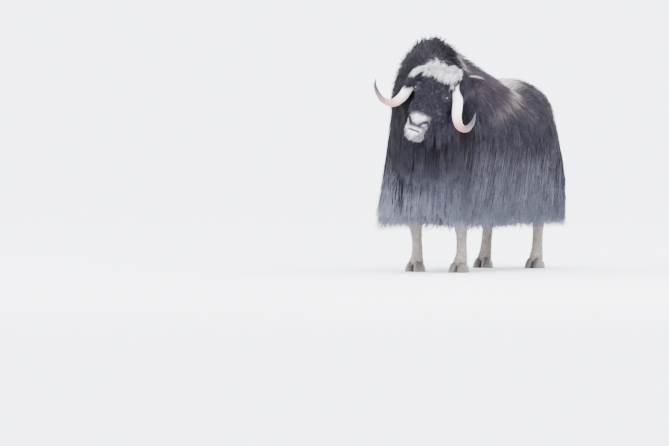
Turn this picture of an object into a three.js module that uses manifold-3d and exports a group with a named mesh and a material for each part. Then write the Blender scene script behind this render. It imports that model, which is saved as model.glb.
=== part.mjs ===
// A muskox cow in her winter coat, life size, as a still model. Millimetres, +Z up.
// She faces -Y with her left side towards +X, and stands on the floor at z = 0.
// The body is modelled about a point under the withers and centred on its own box at the end.
import * as THREE from "three";
import { mergeVertices } from "three/addons/utils/BufferGeometryUtils.js";
import Module from "manifold-3d";

const wasm = await Module();
wasm.setup();

// Driving sizes.
const GAP = 0.5; // left between two nodes that touch
const SLIVER = 0.1; // edges shorter than this are drawn together
const CORE_SHARE = 0.45; // how far the solid core reaches into the coat's depth
const SKIRT_HEM = 226; // the lowest tips of the skirt above the floor
const CHEST_HEM = 300;
const BELLY_HEM = 262;
const EYE_RADIUS = 19;
const HOOF_HEIGHT = 52;
const LEG_OUT = 150; // each leg from the middle plane
const HEAD_AT = new THREE.Vector3(212, -508, 960); // between the eyes
const HEAD_TURN = 8; // degrees to her left
const HEAD_TILT = 18; // degrees, poll towards her left
const HEAD_NOD = -19; // degrees, muzzle forward

const FORWARD = new THREE.Vector3(0, -1, 0);
const UPWARD = new THREE.Vector3(0, 0, 1);
const SIDES = { left: 1, right: -1 };

const vec = (p) => new THREE.Vector3(...p);
const radians = THREE.MathUtils.degToRad;
const lerp = THREE.MathUtils.lerp;

// Each lock differs a little from the next, in the same way at every build.
let draw = 20251;
function vary(low, high) {
  draw = (draw * 16807) % 2147483647;
  return lerp(low, high, draw / 2147483647);
}

// A smooth curve through points that each hold three numbers.
const curve = (points) => new THREE.CatmullRomCurve3(points.map(vec), false, "catmullrom");

// The surface through stations, each { at, wide, up, down, peak, keel }: its centre, its half width, its
// reach towards and away from top, and how narrow (above 1) or full (below 1) the section's halves are.
// t runs from the first station, 0, to the last, 1, and turn goes round from top, in radians.
function surface(stations, top) {
  const spine = curve(stations.map((s) => s.at));
  const sizes = curve(stations.map((s) => [s.wide, s.up, s.down]));
  const shapes = curve(stations.map((s) => [s.peak ?? 1, s.keel ?? 1, 0]));
  const power = (x, exponent) => Math.sign(x) * Math.abs(x) ** exponent;
  return (t, turn) => {
    const along = spine.getTangent(t);
    const height = top.clone().addScaledVector(along, -top.dot(along)).normalize();
    const side = new THREE.Vector3().crossVectors(height, along);
    const size = sizes.getPoint(t);
    const shape = shapes.getPoint(t);
    const below = Math.cos(turn) < 0;
    const rise = power(Math.cos(turn), below ? shape.y : 1);
    const across = power(Math.sin(turn), below ? shape.y : shape.x);
    return spine
      .getPoint(t)
      .addScaledVector(side, across * Math.max(size.x, 0.5))
      .addScaledVector(height, rise * Math.max(below ? size.z : size.y, 0.5));
  };
}

// A closed body with that surface, brought to a point at both ends. grow moves the whole of it out.
function sweep(stations, { top, sides = 16, steps = 16, grow = 0 }) {
  const at = surface(stations, top);
  const geometry = new THREE.SphereGeometry(1, sides, steps);
  const spot = geometry.attributes.position;
  for (let ring = 0; ring <= steps; ring++) {
    const pole = ring === 0 ? stations[0].at : stations.at(-1).at;
    for (let k = 0; k <= sides; k++) {
      const inner = ring > 0 && ring < steps;
      const point = inner ? at(ring / steps, (2 * Math.PI * (k % sides)) / sides) : vec(pole);
      spot.setXYZ(ring * (sides + 1) + k, ...point.toArray());
    }
  }
  return solid(geometry, grow);
}

// The solid inside a closed geometry, with its surface moved out by grow.
function solid(geometry, grow) {
  const bare = geometry.clone();
  bare.deleteAttribute("normal");
  bare.deleteAttribute("uv");
  const merged = mergeVertices(bare, 1e-3);
  merged.computeVertexNormals();
  const place = merged.attributes.position;
  for (let i = 0; i < place.count; i++) {
    const out = new THREE.Vector3().fromBufferAttribute(merged.attributes.normal, i);
    const spot = new THREE.Vector3().fromBufferAttribute(place, i).addScaledVector(out, grow);
    place.setXYZ(i, ...spot.toArray());
  }
  return new wasm.Manifold(
    new wasm.Mesh({
      numProp: 3,
      vertProperties: place.array,
      triVerts: new Uint32Array(merged.index.array),
    }),
  );
}

// An ellipsoid with its half sizes, turned and then placed.
function egg({ at, half, turn = [0, 0, 0], grow = 0, sides = 12, rings = 8 }) {
  const geometry = new THREE.SphereGeometry(1, sides, rings);
  geometry.scale(...half);
  geometry.applyMatrix4(new THREE.Matrix4().makeRotationFromEuler(new THREE.Euler(...turn)));
  geometry.translate(...at);
  return solid(geometry, grow);
}

const join = (parts) => wasm.Manifold.union(parts);

// The largest closed surface of a solid: seals hollows and drops loose scraps.
function largest(body) {
  return body.decompose().reduce((best, one) => (one.volume() > best.volume() ? one : best));
}

// Locks of hair: flat below, ridged above, tapered and bent along a path, with the ridge towards out.
const LYING_TAPER = [0.5, 0.85, 1, 0.75, 0.04];
const HANGING_TAPER = [0.6, 0.8, 0.95, 1, 0.04];

// room makes it larger all round, for the space that it takes out of a neighbour.
function lock({ path, out, half, thick, taper }, room = 0) {
  const tip = path.at(-1).clone();
  tip.addScaledVector(tip.clone().sub(path.at(-2)).normalize(), 2 * room);
  const stations = [...path.slice(0, -1), tip].map((at, i) => ({
    at: at.toArray(),
    wide: half * taper[i] + 3 * room,
    up: thick * taper[i] + 2 * room,
    down: thick * taper[i] + 2 * room,
  }));
  return sweep(stations, { top: out, sides: 3, steps: 4 });
}

// The coat over a body. Its layers run from the core's surface, height 0, to the tips of the hair, height 1,
// and u is the share of the body's length, the same distance everywhere.
function coatOver(stationsAt, girth) {
  const core = surface(stationsAt(CORE_SHARE), UPWARD);
  const tips = surface(stationsAt(1), UPWARD);
  const spine = curve(stationsAt(1).map((s) => s.at));
  return {
    length: spine.getLength(),
    girth,
    layer(u, turn, height) {
      const t = spine.getUtoTmapping(THREE.MathUtils.clamp(u, 0.001, 0.999));
      return core(t, turn).lerp(tips(t, turn), height);
    },
  };
}

// A lock that lies on the coat. lie is its direction in degrees: 0 back, 90 down, more than 90 forward.
const LYING_HEIGHTS = [-0.35, 0.45, 0.86, 0.98, 1];

function lyingLock(coat, { u, turn, way, length, lie, half, thick }) {
  const back = (length * Math.cos(radians(lie))) / coat.length;
  const roll = (length * Math.sin(radians(lie))) / coat.girth;
  const path = LYING_HEIGHTS.map((height, i) => {
    const s = i / (LYING_HEIGHTS.length - 1);
    return coat.layer(u - s * back, way * (radians(turn) + s * roll), height);
  });
  const middle = [u - back / 2, way * (radians(turn) + roll / 2)];
  const out = coat.layer(...middle, 1).sub(coat.layer(...middle, 0)).normalize();
  return { path, out, half, thick, taper: LYING_TAPER };
}

// A lock that comes out of the core and hangs down to a hem, blown forward and flared as it falls.
function hangingLock(coat, { u, turn, way, hem, blown, flare, half, thick }) {
  const angle = way * radians(turn);
  const root = coat.layer(u, angle, -0.35);
  const bend = coat.layer(u, angle, 0.8);
  const out = bend.clone().sub(root).setZ(0).normalize();
  const drop = bend.z - hem;
  const fall = (share) =>
    bend
      .clone()
      .addScaledVector(UPWARD, -drop * share)
      .addScaledVector(FORWARD, blown * drop * share ** 1.5)
      .addScaledVector(out, flare * share ** 2);
  return { path: [root, bend, fall(0.35), fall(0.72), fall(1)], out, half, thick, taper: HANGING_TAPER };
}

// The trunk, rump to chest: the skin at top, widest level and belly, and how far the coat stands over each
// and, at both ends, beyond it.
const TRUNK = [
  { y: 1015, top: 860, widest: 830, belly: 800, half: 8, coat: [60, 30, 250, 68], peak: 0.8 },
  { y: 990, top: 955, widest: 840, belly: 560, half: 126, coat: [76, 62, 290, 62], peak: 0.75 },
  { y: 930, top: 1012, widest: 810, belly: 490, half: 172, coat: [84, 70, 258, 30], peak: 0.8 },
  { y: 810, top: 1025, widest: 750, belly: 480, half: 226, coat: [74, 78, 245, 10], peak: 0.95 },
  { y: 640, top: 985, widest: 720, belly: 470, half: 270, coat: [50, 85, 235, 0], peak: 1.1 },
  { y: 440, top: 1030, widest: 715, belly: 465, half: 285, coat: [80, 85, 230, 0], peak: 1.2 },
  { y: 230, top: 1095, widest: 720, belly: 470, half: 265, coat: [105, 85, 235, 0], peak: 1.3 },
  { y: 40, top: 1150, widest: 730, belly: 480, half: 225, coat: [125, 80, 245, 0], peak: 1.3 },
  { y: -130, top: 1160, widest: 745, belly: 500, half: 178, coat: [130, 70, 240, 0], peak: 1.2 },
  { y: -250, top: 1060, widest: 770, belly: 545, half: 130, coat: [90, 50, 240, -30], peak: 1.1 },
  { y: -300, top: 830, widest: 800, belly: 770, half: 8, coat: [20, 20, 300, -50], peak: 1 },
];

function trunkStations(share) {
  return TRUNK.map(({ y, top, widest, belly, half, coat: [over, beside, under, beyond], peak }) => ({
    at: [0, y + beyond * share, widest],
    wide: half + beside * share,
    up: top - widest + over * share,
    down: widest - belly + under * share,
    peak,
    keel: 0.6,
  }));
}

// The neck, shoulders to poll, which bends to her left: the skin, and the coat over, beside and under it.
const NECK = [
  { at: [0, 60, 870], wide: 10, up: 10, down: 10, coat: [0, 0, 0] },
  { at: [5, -60, 890], wide: 160, up: 300, down: 330, coat: [90, 60, 60] },
  { at: [8, -170, 900], wide: 130, up: 300, down: 330, coat: [108, 65, 80] },
  { at: [52, -280, 920], wide: 118, up: 245, down: 300, coat: [108, 70, 110] },
  { at: [125, -375, 950], wide: 104, up: 165, down: 240, coat: [100, 70, 120] },
  { at: [165, -445, 975], wide: 90, up: 95, down: 130, coat: [60, 50, 70] },
  { at: [180, -485, 985], wide: 10, up: 10, down: 10, coat: [0, 0, 0] },
];

function neckStations(share) {
  return NECK.map(({ at, wide, up, down, coat: [over, beside, under] }) => ({
    at,
    wide: wide + beside * share,
    up: up + over * share,
    down: down + under * share,
  }));
}

const trunkCoat = coatOver(trunkStations, 380);
const neckCoat = coatOver(neckStations, 320);

// Rows of locks on the trunk, from the back down: on the flank they turn from lying back to falling forward.
const FLANK_ROWS = [
  { turn: 9, lie: 18, length: 290, half: 64, from: 0.1, to: 0.87, count: 7 },
  { turn: 33, lie: 42, length: 300, half: 70, from: 0.06, to: 0.87, count: 7 },
  { turn: 57, lie: 66, length: 300, half: 70, from: 0.09, to: 0.88, count: 7 },
  { turn: 80, lie: 92, length: 290, half: 72, from: 0.06, to: 0.9, count: 7 },
];
const SKIRT_ROWS = [
  { turn: 97, hem: SKIRT_HEM, half: 72, flare: 34, blown: 0.26, from: 0.05, to: 0.86, count: 8 },
  { turn: 124, hem: SKIRT_HEM, half: 72, flare: 12, blown: 0.22, from: 0.06, to: 0.84, count: 6 },
  { turn: 158, hem: BELLY_HEM, half: 88, flare: 0, blown: 0.16, from: 0.2, to: 0.74, count: 4 },
  { turn: 106, hem: CHEST_HEM, half: 54, flare: 8, blown: 0.12, from: 0.915, to: 0.97, count: 2 },
  { turn: 150, hem: CHEST_HEM, half: 54, flare: 8, blown: 0.12, from: 0.89, to: 0.96, count: 2 },
];
const RUMP_LOCKS = [
  { turn: 16, hem: 640 },
  { turn: 55, hem: 480 },
  { turn: 95, hem: 330 },
  { turn: 118, hem: SKIRT_HEM },
  { turn: 156, hem: SKIRT_HEM },
];

// Calls make(u, way) for a row of locks on both sides, spread evenly but not in ranks.
function bothSides({ from, to, count }, shift, make) {
  const step = (to - from) / (count - 1);
  return Object.values(SIDES).flatMap((way) =>
    Array.from({ length: count }, (_, i) => make(from + (i + shift + vary(-0.15, 0.15)) * step, way)),
  );
}

function trunkLocks() {
  const flank = FLANK_ROWS.flatMap((row, index) =>
    bothSides(row, index % 2 ? 0 : 0.4, (u, way) =>
      lyingLock(trunkCoat, {
        u,
        way,
        turn: row.turn + vary(-4, 4),
        lie: row.lie + vary(-9, 9),
        length: row.length * vary(0.88, 1.12),
        half: row.half * vary(0.9, 1.12),
        thick: 20,
      }),
    ),
  );
  const skirt = SKIRT_ROWS.flatMap((row, index) =>
    bothSides(row, index % 2 ? 0.4 : 0, (u, way) =>
      hangingLock(trunkCoat, {
        ...row,
        u,
        way,
        turn: row.turn + vary(-4, 4),
        hem: row.hem + vary(0, 40),
        half: row.half * vary(0.9, 1.1),
        thick: 16,
      }),
    ),
  );
  const rump = RUMP_LOCKS.flatMap(({ turn, hem }) =>
    Object.values(SIDES).map((way) =>
      hangingLock(trunkCoat, {
        u: 0.012,
        way,
        turn: turn + vary(-4, 4),
        hem: hem + vary(0, 30),
        blown: 0,
        flare: 34,
        half: 78,
        thick: 16,
      }),
    ),
  );
  return [...flank, ...skirt, ...rump];
}

// Rows of locks on the neck: a bristling crest, a mane that lies back, and a beard that hangs.
const MANE_ROWS = [
  { turn: 9, lie: 22, length: 130, half: 42, count: 4 },
  { turn: 34, lie: 40, length: 180, half: 50, count: 4 },
  { turn: 60, lie: 58, length: 210, half: 54, count: 4 },
  { turn: 88, lie: 80, length: 240, half: 56, count: 4 },
];
const BEARD_ROWS = [
  { turn: 118, hem: 510, half: 52, count: 3 },
  { turn: 156, hem: 430, half: 50, count: 3 },
];
const MANE_REACH = { from: 0.34, to: 0.86 };

function neckLocks() {
  const mane = MANE_ROWS.flatMap((row, index) =>
    bothSides({ ...row, ...MANE_REACH }, index % 2 ? 0 : 0.4, (u, way) =>
      lyingLock(neckCoat, {
        u,
        way,
        turn: row.turn + vary(-3, 3),
        lie: row.lie + vary(-10, 10),
        length: row.length * vary(0.85, 1.15),
        half: row.half * vary(0.9, 1.12),
        thick: 17,
      }),
    ),
  );
  const beard = BEARD_ROWS.flatMap((row, index) =>
    bothSides({ ...row, from: 0.5, to: 0.88 }, index % 2 ? 0 : 0.4, (u, way) =>
      hangingLock(neckCoat, {
        ...row,
        u,
        way,
        turn: row.turn + vary(-4, 4),
        hem: row.hem + vary(0, 60),
        blown: 0.12,
        flare: 8,
        thick: 17,
      }),
    ),
  );
  return [...mane, ...beard];
}

// Head, in its own frame: +X her left, -Y the face, +Z the poll, origin between the eyes.
const headPose = new THREE.Matrix4()
  .makeTranslation(...HEAD_AT)
  .multiply(new THREE.Matrix4().makeRotationZ(radians(HEAD_TURN)))
  .multiply(new THREE.Matrix4().makeRotationY(radians(HEAD_TILT)))
  .multiply(new THREE.Matrix4().makeRotationX(radians(HEAD_NOD)));

const inHeadPose = (body) => body.transform(headPose.elements);
const hangOnHead = UPWARD.clone().negate().transformDirection(headPose.clone().invert());

const HEAD = [
  { z: 236, wide: 20, front: 10, back: 10, y: 30 },
  { z: 220, wide: 82, front: 62, back: 60, y: 25 },
  { z: 175, wide: 122, front: 92, back: 120, y: 20 },
  { z: 110, wide: 126, front: 98, back: 140, y: 18 },
  { z: 40, wide: 110, front: 94, back: 142, y: 12 },
  { z: -30, wide: 90, front: 90, back: 128, y: 4 },
  { z: -100, wide: 72, front: 84, back: 102, y: -10 },
  { z: -155, wide: 66, front: 82, back: 76, y: -24 },
  { z: -198, wide: 63, front: 73, back: 58, y: -32 },
  { z: -230, wide: 44, front: 50, back: 42, y: -30 },
  { z: -241, wide: 10, front: 8, back: 8, y: -28 },
];

function skull(grow) {
  const stations = HEAD.map((s) => ({
    at: [0, s.y, s.z],
    wide: s.wide,
    up: s.front,
    down: s.back,
    peak: 0.9,
    keel: 0.9,
  }));
  return sweep(stations, { top: FORWARD, sides: 16, steps: 15, grow });
}

// Each eye looks out and a little forward from under a rim with an upper and a lower lid.
const EYE_LOOK = radians(52);
const eyeAt = (way) => [way * 88, -50, 30];

function eye(way, grow) {
  return egg({ at: eyeAt(way), half: [EYE_RADIUS, EYE_RADIUS, EYE_RADIUS], grow, sides: 10, rings: 8 });
}

function eyeRim(way, grow) {
  const turn = [0, 0, -way * EYE_LOOK];
  return egg({ at: eyeAt(way), half: [36, 30, 30], turn, grow, sides: 10, rings: 6 });
}

function lidOpening(way) {
  const [x, y, z] = eyeAt(way);
  const at = [x + way * 30 * Math.cos(EYE_LOOK), y - 30 * Math.sin(EYE_LOOK), z];
  return egg({ at, half: [30, 19, 9], turn: [0, 0, -way * EYE_LOOK], sides: 10, rings: 6 });
}

// Nostrils: slanted slits at the front of the muzzle.
function nostril(way) {
  const turn = [0.2, way * 0.75, 0];
  return egg({ at: [way * 30, -102, -162], half: [8, 20, 20], turn, sides: 8, rings: 6 });
}

// The mouth line runs round the muzzle between two lips that stand out a little.
const MOUTH = { at: [0, -30, -208], turn: [0.16, 0, 0], sides: 14 };
const MOUTH_DEPTH = 8;
const lips = (grow) => egg({ ...MOUTH, half: [58, 66, 17], grow, rings: 6 });
const mouthLine = () => egg({ ...MOUTH, half: [82, 92, 3.5], rings: 4 }).subtract(skull(-MOUTH_DEPTH));

// The forelock: rows of locks from the poll, each bent through the points [y, z] of its reach.
const FORELOCK = [
  { count: 5, width: 170, root: [6, 160], reach: [[-58, 204], [-96, 186], [-118, 146], [-116, 96]] },
  { count: 4, width: 136, root: [40, 184], reach: [[6, 224], [-38, 226], [-80, 212], [-110, 176]] },
  { count: 3, width: 110, root: [74, 176], reach: [[84, 218], [104, 230], [132, 230], [164, 218]] },
];
const FORELOCK_SPREAD = 1.22; // the tips' width over the roots'
const FORELOCK_SLOPE = 0.2; // how fast the fringe drops towards its sides

function forelock({ count, width, root, reach }) {
  return Array.from({ length: count }, (_, i) => {
    const x = (i / (count - 1) - 0.5) * width;
    const slip = vary(-4, 4);
    const bent = reach.map(([y, z], k) => {
      const outward = x * lerp(1, FORELOCK_SPREAD, (k + 1) / reach.length) + slip * k;
      return vec([outward, y + vary(-5, 5), z + vary(-6, 6) - Math.abs(x) * FORELOCK_SLOPE]);
    });
    const path = [vec([x, ...root]), ...bent];
    return { path, out: vec([0, -0.8, 0.6]), half: 26, thick: 13, taper: LYING_TAPER };
  });
}

// Hair that hangs from the cheeks and the chin.
const CHEEK_LOCKS = 3;
const CHIN_OUT = 48;

function hangingOnHead({ root, bend, drop, half }) {
  const fall = (share) => bend.clone().addScaledVector(hangOnHead, drop * share);
  const out = bend.clone().sub(root).normalize();
  return { path: [root, bend, fall(0.35), fall(0.7), fall(1)], out, half, thick: 12, taper: HANGING_TAPER };
}

function headLocks() {
  const cheeks = Object.values(SIDES).flatMap((way) =>
    Array.from({ length: CHEEK_LOCKS }, (_, i) => {
      const s = i / (CHEEK_LOCKS - 1);
      const [y, z] = [lerp(70, 40, s), lerp(70, -110, s)];
      const root = vec([way * 66, y, z + 20]);
      const bend = vec([way * lerp(128, 92, s), y, z]);
      return hangingOnHead({ root, bend, drop: vary(120, 160), half: 30 });
    }),
  );
  const chin = Object.values(SIDES).map((way) => {
    const root = vec([way * CHIN_OUT * 0.8, 30, -130]);
    const bend = vec([way * CHIN_OUT, 66, -150]);
    return hangingOnHead({ root, bend, drop: vary(110, 150), half: 26 });
  });
  return [...FORELOCK.flatMap(forelock), ...cheeks, ...chin];
}

// Horns: out of the forehead, down beside the face, then forward and up to the tip.
const HORN = [
  { at: [66, 20, 160], r: 30 },
  { at: [92, 4, 124], r: 38 },
  { at: [142, -8, 46], r: 35 },
  { at: [168, 4, -36], r: 32 },
  { at: [207, 6, -84], r: 27 },
  { at: [260, -26, -90], r: 20 },
  { at: [298, -92, -55], r: 12 },
  { at: [308, -138, -10], r: 1 },
];

function horn(way, grow) {
  const stations = HORN.map(({ at: [x, y, z], r }) => ({
    at: [way * x, y, z],
    wide: r * 0.8,
    up: r,
    down: r,
  }));
  return sweep(stations, { top: FORWARD, sides: 8, steps: 16, grow });
}

// Ears: short cups held out and back behind the horns, open to the front. The right one is laid further back.
const EAR = [
  { at: [92, 90, 178], wide: 6, up: 6, down: 6 },
  { at: [116, 94, 188], wide: 26, up: 19, down: 19 },
  { at: [154, 100, 199], wide: 35, up: 19, down: 19 },
  { at: [192, 105, 208], wide: 26, up: 12, down: 12 },
  { at: [224, 107, 212], wide: 3, up: 3, down: 3 },
];
const EAR_LAID = { left: 0, right: 42 };

function layEar(body, way) {
  const root = vec([way * EAR[0].at[0], EAR[0].at[1], EAR[0].at[2]]);
  const laid = radians(way * (way === SIDES.left ? EAR_LAID.left : EAR_LAID.right));
  const pose = new THREE.Matrix4()
    .makeTranslation(root)
    .multiply(new THREE.Matrix4().makeRotationZ(laid))
    .multiply(new THREE.Matrix4().makeTranslation(root.negate()));
  return body.transform(pose.elements);
}

function ear(way, grow) {
  const stations = EAR.map(({ at: [x, y, z], ...size }) => ({ at: [way * x, y, z], ...size }));
  return layEar(sweep(stations, { top: FORWARD, sides: 10, steps: 7, grow }), way);
}

function earCup(way) {
  const stations = EAR.slice(1).map(({ at: [x, y, z], wide, up }) => ({
    at: [way * (x + 8), y - up, z],
    wide: wide * 0.72,
    up: up * 1.2,
    down: up * 1.2,
  }));
  return layEar(sweep(stations, { top: FORWARD, sides: 8, steps: 5 }), way);
}

// Legs: each runs from the belly to the coronet.
const LEGS = {
  front: [
    { at: [0, -10, 590], wide: 10, up: 10, down: 10 },
    { at: [0, -10, 520], wide: 74, up: 84, down: 90 },
    { at: [0, -14, 400], wide: 60, up: 66, down: 70 },
    { at: [0, -20, 290], wide: 46, up: 50, down: 48 },
    { at: [0, -10, 190], wide: 33, up: 34, down: 38 },
    { at: [0, -8, 110], wide: 34, up: 36, down: 42 },
    { at: [0, -16, 66], wide: 42, up: 44, down: 44 },
    { at: [0, -22, 30], wide: 44, up: 46, down: 44 },
  ],
  hind: [
    { at: [0, 800, 590], wide: 10, up: 10, down: 10 },
    { at: [0, 810, 530], wide: 84, up: 110, down: 100 },
    { at: [0, 865, 430], wide: 60, up: 70, down: 70 },
    { at: [0, 905, 340], wide: 42, up: 48, down: 50 },
    { at: [0, 886, 210], wide: 33, up: 36, down: 38 },
    { at: [0, 870, 120], wide: 34, up: 36, down: 42 },
    { at: [0, 858, 66], wide: 41, up: 44, down: 44 },
    { at: [0, 850, 30], wide: 43, up: 46, down: 44 },
  ],
};
const HIP_HEIGHT = 590;
const STANCE = [
  { pair: "front", side: "left", step: -30 },
  { pair: "front", side: "right", step: 25 },
  { pair: "hind", side: "left", step: 30 },
  { pair: "hind", side: "right", step: -25 },
];

function leg({ pair, side, step }, grow) {
  const stations = LEGS[pair].map((s) => ({
    ...s,
    at: [SIDES[side] * LEG_OUT, s.at[1] + step * (1 - s.at[2] / HIP_HEIGHT), s.at[2]],
  }));
  const whole = sweep(stations, { top: FORWARD, sides: 10, steps: 11, grow });
  return whole.trimByPlane([0, 0, 1], HOOF_HEIGHT + GAP - grow);
}

// A hoof: two claws side by side, joined at the coronet, flat under the foot.
function hoof({ pair, side, step }) {
  const foot = LEGS[pair].at(-1).at;
  const toe = foot[1] + step * (1 - foot[2] / HIP_HEIGHT);
  const middle = SIDES[side] * LEG_OUT;
  const claw = (way) =>
    sweep(
      [
        { at: [middle + way * 22, toe - 4, HOOF_HEIGHT + 20], wide: 12, up: 30, down: 30 },
        { at: [middle + way * 24, toe - 8, HOOF_HEIGHT * 0.7], wide: 26, up: 46, down: 44 },
        { at: [middle + way * 27, toe - 10, 6], wide: 29, up: 56, down: 48 },
        { at: [middle + way * 27, toe - 10, -14], wide: 24, up: 50, down: 42 },
      ],
      { top: FORWARD, sides: 8, steps: 5 },
    );
  const both = join([claw(-1), claw(1)]);
  return both.trimByPlane([0, 0, 1], 0).trimByPlane([0, 0, -1], -HOOF_HEIGHT);
}

function tail(grow) {
  const stations = [
    { at: [0, 960, 925], wide: 6, up: 6, down: 6 },
    { at: [0, 1020, 915], wide: 34, up: 22, down: 24 },
    { at: [0, 1098, 860], wide: 42, up: 22, down: 24 },
    { at: [0, 1124, 780], wide: 32, up: 18, down: 18 },
    { at: [0, 1124, 725], wide: 4, up: 4, down: 4 },
  ];
  return sweep(stations, { top: vec([0, 1, 1]), sides: 10, steps: 8, grow });
}

// Materials.
const finish = (color, roughness) => new THREE.MeshStandardMaterial({ color, roughness, metalness: 0 });
const COAT = finish(0x3b3230, 0.95);
const MANE = finish(0x2b2526, 0.95);
const STOCKING = finish(0x9b9088, 0.9);
const HORN_IVORY = finish(0xd9c3b4, 0.45);
const HOOF_BLACK = finish(0x2a2624, 0.5);
const EYE_DARK = finish(0x120c0a, 0.1);

const model = new THREE.Group();

function add(name, body, material) {
  const mesh = largest(body).simplify(SLIVER).getMesh();
  const geometry = new THREE.BufferGeometry();
  geometry.setAttribute("position", new THREE.BufferAttribute(mesh.vertProperties, 3));
  geometry.setIndex(new THREE.BufferAttribute(mesh.triVerts, 1));
  const piece = new THREE.Mesh(geometry, material);
  piece.name = name;
  model.add(piece);
}

// Assembly: what grows from the head cuts the head, and head, legs and tail cut the coat round them.
const onBothSides = (make, ...rest) => join(Object.values(SIDES).map((way) => make(way, ...rest)));
const fittings = [horn, ear, eye].map((make) => onBothSides(make, GAP));
const hairOnHead = headLocks();
const headWith = (grow) =>
  join([
    skull(grow),
    onBothSides(eyeRim, grow),
    lips(grow),
    ...hairOnHead.map((one) => lock(one, grow)),
  ]);
const headCuts = join([...fittings, onBothSides(lidOpening), onBothSides(nostril), mouthLine()]);
const headSpace = inHeadPose(join([headWith(GAP), ...fittings]));
const legSpace = join(STANCE.map((stance) => leg(stance, GAP)));

// The plane between neck and trunk leans back over the shoulders.
const COLLAR = new THREE.Plane().setFromNormalAndCoplanarPoint(
  vec([0.12, -0.92, 0.37]).normalize(),
  vec([0, -215, 900]),
);
const neckSide = COLLAR.normal.toArray();
const trunkSide = COLLAR.normal.clone().negate().toArray();

const body = join([
  sweep(trunkStations(CORE_SHARE), { top: UPWARD, sides: 20, steps: 20 }),
  sweep(neckStations(CORE_SHARE), { top: UPWARD, sides: 16, steps: 12 }),
  ...[...trunkLocks(), ...neckLocks()].map((one) => lock(one)),
]);
const torso = body.trimByPlane(trunkSide, COLLAR.constant + GAP / 2);
const neck = body.trimByPlane(neckSide, -COLLAR.constant + GAP / 2);

add("torso", torso.subtract(join([legSpace, tail(GAP), headSpace])), COAT);
add("neck", neck.subtract(join([legSpace, headSpace])), MANE);
add("head", inHeadPose(headWith(0).subtract(headCuts)), MANE);
add("tail", tail(0), COAT);
for (const [side, way] of Object.entries(SIDES)) {
  add(`horn_${side}`, inHeadPose(horn(way, 0)), HORN_IVORY);
  add(`ear_${side}`, inHeadPose(ear(way, 0).subtract(join([fittings[0], earCup(way)]))), MANE);
  add(`eye_${side}`, inHeadPose(eye(way, 0)), EYE_DARK);
}
for (const stance of STANCE) {
  const place = `${stance.pair}_${stance.side}`;
  add(`leg_${place}`, leg(stance, 0), STOCKING);
  add(`hoof_${place}`, hoof(stance), HOOF_BLACK);
}

// The model's own origin: the middle of its box, on the floor.
const box = new THREE.Box3().setFromObject(model);
const middle = box.getCenter(new THREE.Vector3());
model.position.set(-middle.x, -middle.y, -box.min.z);

export default model;
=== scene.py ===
import logging
import math
from dataclasses import dataclass, field
from enum import Enum
from typing import Callable

import bpy
import numpy as np
from mathutils import Matrix, Vector
from mathutils.bvhtree import BVHTree
from mathutils.kdtree import KDTree


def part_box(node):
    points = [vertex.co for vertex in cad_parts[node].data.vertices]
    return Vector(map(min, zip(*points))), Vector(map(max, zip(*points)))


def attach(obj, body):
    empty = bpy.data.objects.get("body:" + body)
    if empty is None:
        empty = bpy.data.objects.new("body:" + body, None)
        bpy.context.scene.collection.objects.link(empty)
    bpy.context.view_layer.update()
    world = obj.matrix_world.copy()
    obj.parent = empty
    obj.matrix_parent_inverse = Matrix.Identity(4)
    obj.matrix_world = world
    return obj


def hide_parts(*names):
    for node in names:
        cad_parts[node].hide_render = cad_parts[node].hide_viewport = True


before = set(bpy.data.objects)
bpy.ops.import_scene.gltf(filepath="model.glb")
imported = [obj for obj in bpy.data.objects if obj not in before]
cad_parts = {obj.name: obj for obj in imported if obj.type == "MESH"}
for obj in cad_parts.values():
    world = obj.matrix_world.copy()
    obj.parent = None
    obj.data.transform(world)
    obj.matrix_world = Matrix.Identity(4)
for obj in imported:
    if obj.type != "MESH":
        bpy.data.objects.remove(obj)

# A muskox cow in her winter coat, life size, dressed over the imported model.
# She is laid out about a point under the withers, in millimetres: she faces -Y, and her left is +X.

Array = np.ndarray
Row = tuple[float, ...]
Triple = tuple[float, float, float]
Piece = bpy.types.Object
Tree = bpy.types.NodeTree
Socket = bpy.types.NodeSocket
Values = dict[str | int, object]
Links = dict[str | int, Socket]
Pair = tuple[Array | float, Array | float]

MM = 0.001
BATCH = 40_000  # points that are tested against a form in one go

log = logging.getLogger("muskox")


class Side(Enum):
    """The animal's own sides, as the sign of X."""

    LEFT = 1
    RIGHT = -1


# The animal's places, angles and levels, in millimetres and degrees.

UP = (0, 0, 1)
AHEAD = (0, -1, 0)
HEAD_AT = (212, -508, 960)
HEAD_TURN, HEAD_TILT, HEAD_NOD = 8, 18, -19
EYE_RADIUS = 19
EYE_AT = (88, -50, 30)
EYE_LOOK = 52  # how far each eye looks to its side, off straight ahead
EYE_CLEARANCE = 0.4
LIDS_AHEAD, LIDS_HALF = 24, (26, 16, 8)
NOSTRIL = ((53, -142), (22, -178))  # a slit's outer and inner end, across and up
NOSTRIL_HALF, SLIT_HALF = (10, 22, 14), (5.5, 22, 25)
MOUTH_LEVEL, MOUTH_REACH, MOUTH_HALF = -208, 30, (46, 44, 3)
LIP_TILT = 9
CREASE_SHADE_LEVEL, CREASE_SHADE_HALF = -180, 16  # level and half width of the painted shade in the fold between the nose and the upper lip
SKIRT_HEM, CHEST_HEM, BELLY_HEM = 226, 300, 262
LEG_OUT, HIP_HEIGHT, HOOF_HEIGHT = 150, 590, 52

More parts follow.
